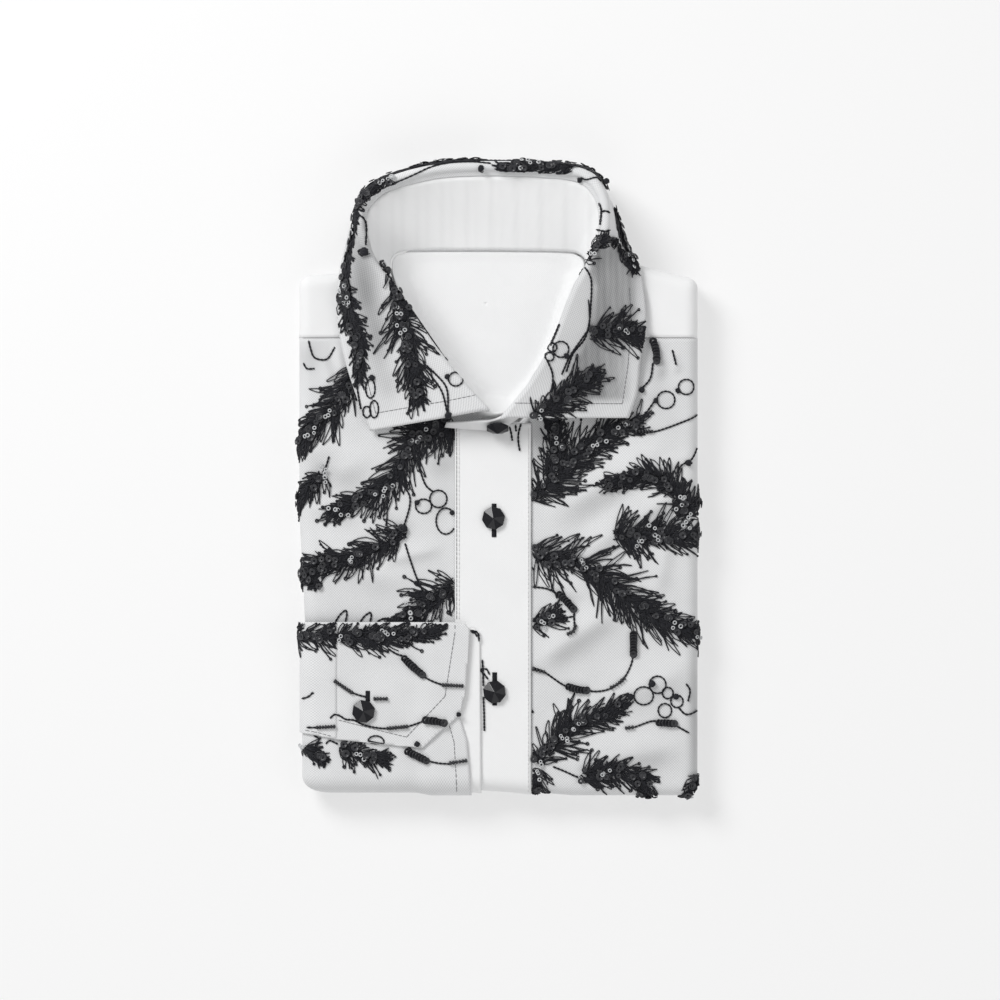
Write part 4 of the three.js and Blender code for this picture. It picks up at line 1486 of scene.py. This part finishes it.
def side_threads(seat, spine, reach, core):
    """Curved hairpins on both sides of a spine, in clumps, long in the middle and short at the tip."""
    rng = spine.rng
    count = int(spine.length / NEEDLE_PITCH)
    share, base, heading = spine.spread(count, core * 0.2)
    side = rng.choice([-1.0, 1.0], count)
    travelled = share * spine.length
    clump = np.sin(travelled / 4.1 + side * 2) * 0.5 + np.sin(travelled / 1.9 + side) * 0.3
    lean = np.radians(mixed(*NEEDLE_LEAN, share) + clump * 9 + rng.normal(0, 9, count))
    envelope = smooth(share, -0.3, 0.12) * (1 - 0.45 * smooth(share, 0.6, 1.0))
    size = reach * envelope * rng.uniform(0.55, 1.3, count) * (1 + 0.2 * clump)
    size = np.where(rng.random(count) < LONG_NEEDLES, size * 1.25, size) + core * 0.3
    bend = -side * np.radians(rng.uniform(*NEEDLE_BEND, count))
    lines = curved_lines(base, heading + side * lean, bend, size)
    gap = np.where(rng.random(count) < NEEDLE_SINGLE, 0.5, rng.uniform(*NEEDLE_GAP, count))
    hairpins(seat, lines, rng.uniform(0.3, 1.1, count), gap, rng)


def dense_middle(seat, spine, core):
    """Short thick threads over one another along a spine."""
    rng = spine.rng
    count = int(spine.length / CORE_PITCH)
    _, base, heading = spine.spread(count, core * 0.42)
    angle = heading + np.radians(rng.normal(0, 26, count))
    lines = curved_lines(base, angle, rng.normal(0, 0.3, count), rng.uniform(3, 6.5, count))
    kept, first, last = kept_run(seat, lines)
    shares = first[kept, None] + (last - first)[kept, None] * np.array((0, 0.33, 0.67, 1.0))[None, :]
    bow = np.array((-0.2, 0.12, 0.12, -0.2))[None, :]
    lift = rng.uniform(0.4, 1.15, int(kept.sum()))[:, None] + bow
    seat.sew(along_lines(lines[kept], shares), lift, CORE_RADIUS * np.array((0.6, 1, 1, 0.6)))


def sprig_sequins(seat, spine, core):
    """Dark sequins along a spine, and a few clusters of pale rings."""
    rng = spine.rng
    count = int(spine.length / SEQUIN_PITCH)
    base = spine.spread(count, core * 0.4)[1]
    discs(seat, base, rng.uniform(1.5, 2.2, count), rng.uniform(1.25, 1.8, count), rng, False)
    for _ in range(max(1, round(spine.length / CLUSTER_PITCH))):
        _, middle, heading = spine.spread(1, core * 0.3)
        count = int(rng.integers(3, 6))
        along = (np.arange(count) - count / 2) * 2.1
        bow = heading + rng.normal(0, 0.6)
        base = middle + ahead_of(bow) * along[:, None] + rng.normal(0, 1.0, (count, 2))
        discs(seat, base, rng.uniform(1.1, 1.4, count), rng.uniform(1.3, 2.1, count), rng, True)


def sprig(seat, places, reach, core, seed):
    """A feathery sprig: curved threads on both sides, a dense middle, and sequins."""
    spine = Spine(places, np.random.default_rng(seed))
    side_threads(seat, spine, reach, core)
    dense_middle(seat, spine, core)
    sprig_sequins(seat, spine, core)


def discs(seat, places, sizes, lift, rng, light):
    kept = seat.inside(places[:, 0], places[:, 1])
    if not kept.any():
        return
    places = places[kept]
    centres = seat.at(places, lift[kept])
    axes = unit(seat.normals(places) + rng.normal(0, 0.16, (len(places), 3)))
    shape = turned_shapes(RING if light else SEQUIN, centres, axes, sizes[kept])
    (seat.light_discs if light else seat.dark_discs).append(shape)


def cord(seat, points, radius=CORD_RADIUS, lift=0.45):
    """Two strands twisted round each other."""
    line = even_line(points, CORD_STEP)
    line = line[seat.inside(line[:, 0], line[:, 1])]
    if len(line) < 3:
        return
    aside = left_of(headings(line))
    phase = np.arange(len(line)) * CORD_STEP / CORD_TWIST * 2 * math.pi
    for start in (0, math.pi):
        path = line + aside * np.sin(phase + start)[:, None] * radius * 0.85
        seat.sew(path[None], (lift + np.cos(phase + start) * radius * 0.5)[None], radius)


def loop(seat, x, y, across, along):
    """A ring of cord."""
    turns = np.linspace(0, 2 * math.pi, 13)
    cord(seat, [(x + across * math.cos(a), y + along * math.sin(a)) for a in turns], CORD_RADIUS * 0.9)


def stack(seat, points, seed):
    """Sequins threaded on a cord, so that they overlap."""
    rng = np.random.default_rng(seed)
    line = even_line(points, 1.5)
    run = unit(np.gradient(seat.at(line, 1.0), axis=0))
    axes = unit(seat.normals(line) * 0.9 + run * 0.42 + rng.normal(0, 0.07, (len(line), 3)))
    sizes = rng.uniform(2.0, 2.3, len(line))
    seat.dark_discs.append(turned_shapes(SEQUIN, seat.at(line, 1.3), axes, sizes))
    cord(seat, points, CORD_RADIUS, 0.8)


def bar(seat, points, seed):
    """Small beads side by side on a cord."""
    rng = np.random.default_rng(seed)
    line = even_line(points, 1.45)
    run = unit(np.gradient(seat.at(line, 1.0), axis=0))
    sizes = rng.uniform(1.0, 1.2, len(line))
    seat.dark_discs.append(turned_shapes(BEAD, seat.at(line, 1.0), run, sizes))
    cord(seat, points, CORD_RADIUS, 0.5)


def knot(seat, x, y, size, seed):
    """Thread wound round a small hard middle."""
    rng = np.random.default_rng(seed)
    place = np.array([(x, y)], dtype=float)
    middle = turned_shapes(KNOT, seat.at(place, size * 0.5), seat.normals(place), [size * 0.9], 8)
    seat.threads.append(middle)
    angle = rng.uniform(0, 2 * math.pi, KNOT_THREADS)
    away = size * rng.uniform(0.35, 0.8, KNOT_THREADS)
    start = place + ahead_of(angle) * away[:, None]
    bend = np.full(KNOT_THREADS, 2.1)
    lines = curved_lines(start, angle + math.pi / 2, bend, np.full(KNOT_THREADS, size * 1.5))
    places = along_lines(lines, np.tile(np.linspace(0, 1, 5), (KNOT_THREADS, 1)))
    seat.sew(places, rng.uniform(0.4, size * 0.9, (KNOT_THREADS, 1)), NEEDLE_RADIUS)


def topstitch(seat, corners):
    """A line of short even stitches with sharp corners."""
    paths = []
    corners = np.array(corners, dtype=float)
    for first, second in zip(corners[:-1], corners[1:]):
        length = np.linalg.norm(second - first)
        count = max(1, int(length / STITCH_PITCH))
        start = np.linspace(0, length - STITCH_LENGTH, count)[:, None]
        shares = (start + np.array((0, 0.5, 1.0))[None, :] * STITCH_LENGTH) / length
        paths.append(first + (second - first) * shares[..., None])
    places = np.concatenate(paths)
    return tubes(seat.at(places, np.array((0.02, 0.16, 0.02))[None, :]), STITCH_RADIUS)


def buttonhole(seat, x, y, length):
    """A slot worked over with close stitches."""
    rows = np.arange(-length / 2, length / 2, HOLE_PITCH)[:, None]
    across = np.array((-HOLE_HALF_WIDTH, 0, HOLE_HALF_WIDTH))[None, :]
    places = np.stack([x + across + rows * 0, y + rows + across * 0], axis=-1)
    seat.sew(places, np.array((0.1, 0.5, 0.1))[None, :], 0.3)


def many_small(name, chunks, finish):
    """One piece of all the small shapes of a kind."""
    corners, faces = joined(chunks)
    mesh = bpy.data.meshes.new(name)
    mesh.from_pydata((corners * MM).tolist(), [], faces)
    mesh.shade_smooth()
    add_piece(name, mesh, finish)


def within_outline(s, t, outline, margin):
    """Inside a convex outline, by at least a margin."""
    inside = np.ones(np.shape(s), dtype=bool)
    for corner, normal in outline_sides(outline):
        inside &= (s - corner[0]) * normal[0] + (t - corner[1]) * normal[1] < -margin
    return inside


def within_cuff(s, t, margin):
    return within_outline(s, t, CUFF_OUTLINE, margin) | within_outline(s, t, SLEEVE_OUTLINE, margin)


def within_box(s, t, low, high):
    return (s > low[0]) & (s < high[0]) & (t > low[1]) & (t < high[1])


def on_right_front(s, t):
    clear_of_neck = (t < NECK_POINT) | (s < neckline(t, "left") - 2)
    high = (PLACKET_LEFT - 0.5, YOKE_SEAM - 1)
    return within_box(s, t, (-FOLD_SIDE + 1, CUFF_TOP - 0.6), high) & clear_of_neck


def on_left_front(s, t):
    clear_of_neck = (t < NECK_POINT) | (s > neckline(t, "right") + 2)
    high = (FOLD_SIDE - 1, YOKE_SEAM - 1)
    return within_box(s, t, (PLACKET_RIGHT + 0.8, -FOLD_BOTTOM + 1), high) & clear_of_neck


def on_cuff(s, t):
    return within_cuff(s, t, 0.3) & (s > -FOLD_SIDE + 1)


def on_underlap(s, t):
    low = (-FOLD_SIDE + 5, -FOLD_BOTTOM + 5)
    return within_box(s, t, low, (-17, -110)) & ~within_cuff(s, t, -0.5)


def everywhere(s, t):
    return np.ones(np.shape(s), dtype=bool)


# Where each seat's thread goes. A sprig: reach of its side threads, width of its middle, its spine
SPRIGS = [
    ("front_right", [
        (13, 8, [(-77, 61), (-78.5, 54.5), (-85.5, 43), (-94, 34.5), (-102, 26), (-109.5, 17)]),
        (14, 7, [
            (-28.5, 34.5), (-32.5, 30.5), (-44.5, 20.5), (-52.5, 8.5), (-58.5, -2), (-69.5, -9),
            (-82.5, -15), (-89, -18),
        ]),
        (10, 8, [
            (-50.5, -27), (-56.5, -32.5), (-68, -37.5), (-79.5, -43), (-92.5, -45.5), (-103.5, -49),
            (-112.5, -55),
        ]),
        (6, 4, [(-96.5, -58), (-103, -56), (-112.5, -50.5)]),
        (8, 7, [(-95, 3), (-101, -4), (-108, -9.5), (-112.5, -14.5)]),
        (12, 9, [(-22, -56.5), (-32.5, -64.5), (-42.5, -68.5), (-52, -77.5)]),
        (12, 8, [(-25, 27.5), (-36, 23), (-47, 23)]),
    ]),
    ("front_left", [
        (13, 8, [(17.5, -12), (20.5, -9.5), (29, -2), (39, 8.5), (48.5, 17.5), (61.5, 25), (75.5, 30)]),
        (10, 8, [(27, 0.5), (29.5, 10), (32, 21), (31, 31.5)]),
        (9, 7, [(100.5, -17), (96, -7.5), (87.5, 0), (78, 2), (69, -1), (58.5, -3.5)]),
        (12, 8, [(61.5, -31), (69, -31), (80, -31.5), (94, -31), (108, -30), (117.5, -28.5)]),
        (9, 9, [(98, -22.5), (103.5, -16), (110, -10.5)]),
        (16, 8, [
            (17.5, -38), (28, -44), (41, -45.5), (52, -50.5), (61.5, -57), (71, -66), (80, -72.5),
            (89.5, -77.5), (98.5, -80.5), (108, -83), (116.5, -85),
        ]),
        (9, 7, [(17.5, -79), (25, -76.5), (31.5, -74)]),
        (12, 8, [
            (21, -155.5), (25.5, -148), (33, -141.5), (42, -133), (51.5, -129.5), (58.5, -127.5),
            (65.5, -124),
        ]),
        (9.5, 9, [
            (44, -161.5), (52, -159.5), (59, -158), (66, -158), (74.5, -160.5), (78.5, -166),
            (79.5, -175),
        ]),
        (8, 6, [(22.5, -158.5), (20.5, -165.5), (19, -174)]),
        (6, 6, [(107.5, -160), (105.5, -167), (103.5, -176)]),
    ]),
    ("fall", [
        (8, 7, [(-60, 9), (-78, 15), (-95, 27), (-112, 34), (-131, 38), (-147, 39)]),
    ]),
    ("leaf", [
        (6, 6, [(-84, 101.5), (-82, 93), (-78.5, 83), (-75.5, 71.5), (-74.5, 60.5), (-75, 53)]),
        (12, 8, [
            (-55, 100.5), (-51.5, 90), (-49.5, 81), (-48, 71.5), (-46, 60.5), (-44, 48.5), (-44, 42.5),
        ]),
        (3, 3, [(-64.5, 117), (-59, 109), (-54.5, 99.5), (-48, 92)]),
        (13, 9, [(48.5, 78), (56.5, 79), (66, 80), (74.5, 78), (81, 78.5)]),
        (10, 9, [(19, 33), (29, 40), (38, 46.5), (47.5, 52), (54, 56)]),
    ]),
    ("fall", [
        (5, 6, [(42, 8), (30, 7), (20, 6), (9, 4)]),
    ]),
    ("leaf", [
        (4.5, 5, [(61.5, 138), (64.5, 129), (68.5, 121), (73, 113.5)]),
    ]),
    ("fall", [
        (4, 4.5, [(-39, 6.2), (-47, 6.4), (-58.5, 7.4)]),
        (6, 5, [(78, 30), (92, 36), (106, 41), (120, 44)]),
    ]),
    ("leaf", [
        (4.5, 4, [(47, 116.5), (51, 123.5), (56.5, 128.5)]),
    ]),
    ("front_right", [
        (3.4, 3, [(-64, -80), (-52, -79.2), (-38, -79.8)]),
    ]),
    ("fall", [
        (10, 7, [(-58, 21), (-42, 27), (-24, 32), (-4, 34)]),
        (10, 7, [(66, 36), (52, 30), (34, 24), (18, 21)]),
        (7, 6, [(-30, 14), (-14, 17), (0, 22)]),
    ]),
    ("cuff", [
        (10, 7, [
            (-115, -84), (-108, -84.5), (-98, -85), (-83.5, -85.5), (-69.5, -85), (-55, -84.5),
            (-44, -84), (-35, -82.5),
        ]),
    ]),
    ("underlap", [
        (8, 7, [(-87.5, -147.5), (-80.5, -150.5), (-72.5, -152.5), (-62, -155)]),
        (6, 6, [(-108.5, -148), (-102, -152), (-97.5, -155)]),
    ]),
]
# Places that each cord passes
CORDS = {
    "front_right": [
        [(-52.5, -2), (-48, -9.5), (-48, -15), (-51, -25.5)],
        [(-50.5, -35), (-48, -43), (-43.5, -55.5), (-41, -60.5)],
        [(-42.5, 4.5), (-39, -4), (-35.5, -7)],
        [(-91.5, 12), (-93, 7), (-95, 3)],
        [(-102.5, 74.5), (-101.5, 70), (-99.5, 65.5), (-93, 64.5), (-88.5, 71)],
        [(-105.5, 62.5), (-103.5, 59.5), (-99.5, 59.5)],
        [(-90.5, -77.4), (-87.5, -73.5), (-84, -71.2), (-83.6, -74), (-84.6, -77.4)],
        [(-76, -77.4), (-73, -74), (-69.8, -72.4), (-69.4, -74.4), (-70.2, -77.4)],
        [(-66, -77.2), (-62, -75.6), (-57, -76.2), (-52, -75), (-46, -75.8), (-41, -76.6)],
    ],
    "front_left": [
        [(108.5, 16.5), (104, 10), (98.5, 6.5), (96, -3.5)],
        [(18.5, -58.5), (26, -59.5), (32.5, -62.5)],
        [(41, -70.5), (41, -77.5), (41.5, -80.5)],
        [(31.5, -74), (36.5, -75), (40.5, -74.5)],
        [
            (18.5, -102), (24.5, -104.5), (37, -112.5), (47, -114.5), (54.5, -115), (61.5, -113),
            (68, -107.5), (71.5, -101), (73, -95),
        ],
        [(62, -129), (68, -125), (73, -120.5)],
        [(97.5, -124), (101.5, -127.5), (108.5, -125.5)],
        [(69, -135), (73, -134.5), (84, -131), (87, -132)],
        [(95, -133), (98.5, -135), (103, -137.5)],
        [(29.5, -156.5), (35.5, -158.5), (43, -161.5)],
        [(83.5, 62.5), (82, 54), (77.5, 48.5)],
        [(84.5, 42), (81, 37), (77, 32)],
        [(73, 25), (82.5, 25), (100.5, 31), (108.5, 34.5)],
        [(94, 69.5), (96, 61.5)],
        [(17.5, -119.5), (18.5, -126), (18, -130.5)],
        [(101.5, -111), (103.5, -114.5), (102.5, -120.5)],
    ],
    "fall": [
        [(-43, 2.5), (-35, 3.5), (-27.5, 6), (-24, 7.5), (-16, 9), (-4, 9), (4, 7.5)],
        [(0, 35), (8, 40), (20, 42), (30, 39)],
        [(14, 20), (6, 17), (-4, 11)],
        [(47.5, 2.5), (51, 3), (55, 8), (57.5, 14), (60, 18)],
    ],
    "leaf": [
        [(-75, 149), (-72.5, 150), (-70, 149)],
        [(-76.5, 142.5), (-74.5, 141.5), (-72, 138.5), (-71.5, 125.5)],
        [(-40.5, 62.5), (-34, 56.5), (-28, 49), (-27, 35.5)],
        [(-42, 62), (-36, 55), (-30.5, 47), (-27.5, 35.5)],
        [(-54.5, 99.5), (-48, 93), (-40.5, 82.5), (-31.5, 69.5), (-27.5, 63.5)],
        [(54, 149), (55.5, 145), (55, 136.5)],
        [(55.5, 143.5), (57.5, 144), (60.5, 142.5)],
        [(53, 134), (57, 133), (60.5, 134)],
        [
            (42.5, 109), (46, 113.5), (49.5, 108), (50, 103), (49.5, 92), (49, 85.5), (46.5, 75.5),
            (40, 67), (36.5, 57.5),
        ],
        [(48.5, 80.5), (44, 74), (38.5, 66), (34, 56)],
        [(33, 83), (30.5, 77), (28, 71.5)],
        [(26, 64), (29, 56.5), (29, 47.5)],
        [(-76.5, 52), (-75, 42), (-72.5, 29.5)],
    ],
    "cuff": [
        [(-59.5, -92), (-55.5, -94.5), (-51, -96)],
        [(-40.5, -107), (-35.5, -109.5), (-30, -111.5)],
        [(-81, -115.5), (-76.5, -117), (-72, -118)],
        [
            (-93.5, -129.5), (-91, -127.5), (-88, -128), (-84.5, -130), (-79.5, -130.5), (-74, -133),
            (-62, -135), (-49.5, -134), (-40.5, -131),
        ],
        [(-105, -134.5), (-101.5, -134.5)],
        [(-107.5, -119), (-104.5, -118), (-102.5, -115.5)],
    ],
    "underlap": [
        [(-96, -146), (-94, -144), (-89, -146)],
        [(-58.5, -146.5), (-55, -145), (-50.5, -146), (-47, -149.5)],
        [(-39, -156), (-32.5, -157.5), (-26.5, -158)],
        [(-102.5, -141), (-100, -143), (-101, -146)],
    ],
    "placket": [
        [(6, 28), (7, 24), (7.5, 20.5)],
        [(9.3, 29), (9.5, 25.5)],
        [(12.2, 29.5), (10.8, 24), (10.8, 19.5), (11.5, 15)],
        [(-9.8, -103), (-6.5, -103), (-4.8, -106)],
        [(-9.8, -103.5), (-7.5, -106), (-5.6, -108.5)],
        [(-8.7, -98), (-8.3, -104), (-8.2, -112)],
        [(-8.2, -118), (-7.8, -126), (-7.6, -138)],
    ],
    "facing": [
        [(-15.2, -82.2), (-12.6, -82.4), (-10.8, -84), (-10.5, -88)],
        [(-14.6, -83), (-12.8, -83.4), (-11.4, -85.5)],
    ],
}
# Sequins threaded on a cord
STACKS = {
    "front_left": [
        [(32.5, -62.5), (36, -65.5), (40.5, -70.5)],
        [(37.5, -112.5), (42.5, -114), (47.5, -114.5)],
        [(73, -84), (73, -95)],
        [(86.5, -132), (95, -132.5)],
        [(83.5, 74.5), (85, 69.5), (85.5, 63.5)],
    ],
    "cuff": [
        [(-51, -97), (-47, -101), (-41, -106)],
        [(-39.5, -130.5), (-35, -131), (-29.5, -132)],
    ],
    "underlap": [
        [(-49.5, -150.5), (-44.5, -153), (-39, -156)],
    ],
}
# Beads side by side on a cord
BARS = {
    "front_left": [
        [(41.5, -79.5), (40.5, -82.5), (37.5, -84)],
        [(61, -113), (64.5, -111), (68, -108)],
        [(19, -103), (24.5, -104.5)],
        [(69, -135), (72.5, -134.5)],
        [(74.5, 25.5), (83, 25.5)],
    ],
    "cuff": [
        [(-30, -111.5), (-19.5, -112)],
        [(-90.5, -109.5), (-81, -115.5)],
        [(-67.5, -119), (-60.5, -119)],
        [(-60, -135), (-49.5, -134)],
        [(-101, -134.5), (-91, -134)],
    ],
    "underlap": [
        [(-26, -157.5), (-17.5, -156)],
    ],
    "leaf": [
        [(-63.5, 116.5), (-61, 111.5), (-57.5, 108.5)],
    ],
}
# Rings of cord: middle, reach across and along
LOOPS = {
    "front_right": [(-32.5, -11, 4.6, 4.6), (-40.5, -15, 4.3, 3.8), (-28.5, -23, 5.2, 7)],
    "front_left": [
        (78.5, -117.5, 5.2, 4.8), (86, -111.5, 4.5, 4.6), (91.5, -116, 2.9, 3), (96.5, -120.5, 3.3, 3.3),
        (90, -125.5, 3.6, 3.7), (90.5, 42.5, 4.8, 4.6), (101.5, 49.5, 4.2, 4),
    ],
    "leaf": [
        (-69, 48.5, 2.5, 5), (-71, 36, 2.1, 3), (-67, 37.5, 2.3, 4.6), (-23, 53.5, 3.8, 3.6),
        (33.5, 69.5, 4.2, 4.2), (29, 70.5, 2.3, 2.3), (27.5, 65.5, 2.2, 2.2),
    ],
    "underlap": [(-66.8, -142.5, 4.8, 3.4)],
    "cuff": [(-66.8, -142.5, 4.8, 3.4)],
}
# Knots: middle and size
KNOTS = {
    "front_right": [(-44, -13, 1.6), (-25, -18.5, 1.5), (-51, -27, 2.2)],
    "front_left": [
        (71.5, -118, 2), (83, -111, 2.2), (96, -118, 1.8), (77.5, 48, 1.8), (85, 42, 1.6),
        (97, 47.5, 1.6), (102.5, 8.5, 2),
    ],
    "leaf": [
        (-72, 122, 2.8), (-68, 54.5, 1.9), (-27.5, 55, 1.6), (-27, 34, 2.2), (-9.5, 167.5, 1.8),
        (57.5, 160, 1.9), (36.5, 66, 1.7), (44, 161, 1.6),
    ],
    "cuff": [(-44, -143.5, 1.7), (-21.5, -127.5, 1.4)],
}
# Buttonholes: middle and length
BUTTONHOLES = {
    "placket": [(-2.4, -22.4, 18), (-2.1, -113.6, 18)],
    "cuff": [(-71.5, -121, 13)],
}
# Topstitching by colour: seat and corners
TOPSTITCH = {
    "grey": [
        ("leaf", [(-76, 88), (-74, 66), (-66.3, 35.3), (-27.3, 41.9), (-12.3, 45)]),
        ("leaf", [(8.7, 40.6), (66.8, 40.4), (69.8, 61), (71.5, 86), (70.5, 103)]),
        ("cuff", [(-23.5, -79), (-23.5, -83), (-28.9, -117.6), (-49.7, -139.7), (-88.6, -130.5)]),
        ("cuff", [(-93, -139.2), (-106, -136)]),
        ("underlap", [(-26.5, -135.2), (-24, -145), (-22.6, -171)]),
        ("placket", [(-22.6, 27), (-22.6, -76)]),
    ],
    "white": [
        ("placket", [(16.2, 27), (16.2, -171)]),
        ("placket", [(-21.2, 27), (-21.2, -76)]),
    ],
}


def make_seats():
    leaf_points = leaf_face()
    return {
        "front_right": Seat(right_face, on_right_front),
        "front_left": Seat(left_face, on_left_front),
        "cuff": Seat(cuff_face, on_cuff),
        "underlap": Seat(underlap_face, on_underlap),
        "placket": Seat(placket_face, everywhere),
        "facing": Seat(facing_face, everywhere),
        "leaf": SeenFromAbove(leaf_points),
        "fall": Unrolled(leaf_points),
    }


def sew_threads(seats):
    """Sew all sprigs, cords, beads and knots on their seats, each with a seed of its own."""
    seeds = itertools.count(1)
    for name, run in SPRIGS:
        for reach, core, spine in run:
            sprig(seats[name], spine, reach, core, next(seeds))
    for name, seat in seats.items():
        for points in CORDS.get(name, []):
            cord(seat, points)
        for row in LOOPS.get(name, []):
            loop(seat, *row)
    for make, table in ((stack, STACKS), (bar, BARS)):
        for name, rows in table.items():
            for points in rows:
                make(seats[name], points, next(seeds))
    for name, rows in KNOTS.items():
        for row in rows:
            knot(seats[name], *row, next(seeds))
    for name, rows in BUTTONHOLES.items():
        for row in rows:
            buttonhole(seats[name], *row)


def thread_pieces(seats):
    for name, seat in seats.items():
        kinds = (
            ("_threads", seat.threads, black_thread),
            ("_sequins", seat.dark_discs, dark_sequin),
            ("_light_sequins", seat.light_discs, light_sequin),
        )
        for ending, shapes, finish in kinds:
            if shapes:
                many_small(name + ending, shapes, finish)


def topstitch_pieces(seats):
    for colour, finish in (("grey", grey_thread), ("white", white_thread)):
        lines = [topstitch(seats[name], corners) for name, corners in TOPSTITCH[colour]]
        many_small(colour + "_topstitch", lines, finish)


# Studio
FLOOR_SIZE = 6
SKY_STRENGTH = 0.42
# Lamps: name, place and width in metres, and power in watts
LAMPS = [
    ("key", (-1.0, 1.1, 1.3), 0.8, 24),
    ("fill", (1.2, -0.3, 1.5), 1.4, 5),
    ("front", (0, -1.3, 1.6), 1.4, 5),
]


def make_floor():
    bpy.ops.mesh.primitive_plane_add(size=FLOOR_SIZE)
    floor = bpy.context.active_object
    floor.name = "floor"
    floor.data.materials.append(floor_finish().material)


def make_lights():
    world = bpy.context.scene.world or bpy.data.worlds.new("studio")
    bpy.context.scene.world = world
    world.use_nodes = True
    background = world.node_tree.nodes["Background"]
    background.inputs["Color"].default_value = (1, 1, 1, 1)
    background.inputs["Strength"].default_value = SKY_STRENGTH
    for name, place, size, power in LAMPS:
        data = bpy.data.lights.new(name, "AREA")
        data.size = size
        data.energy = power
        lamp = bpy.data.objects.new(name, data)
        lamp.location = place
        lamp.rotation_euler = (-Vector(place)).to_track_quat("-Z", "Y").to_euler()
        bpy.context.scene.collection.objects.link(lamp)
    bpy.context.scene.view_settings.view_transform = "Standard"


make_camera()
folded_layers()
front_right()
front_left()
placket()
yoke_right()
yoke_left()
yoke_inside()
collar_stand()
collar_leaf()
sleeve()
cuff()
cuff_underlap()
cuff_facing()
sew_buttons()
seats = make_seats()
sew_threads(seats)
thread_pieces(seats)
topstitch_pieces(seats)
make_floor()
make_lights()
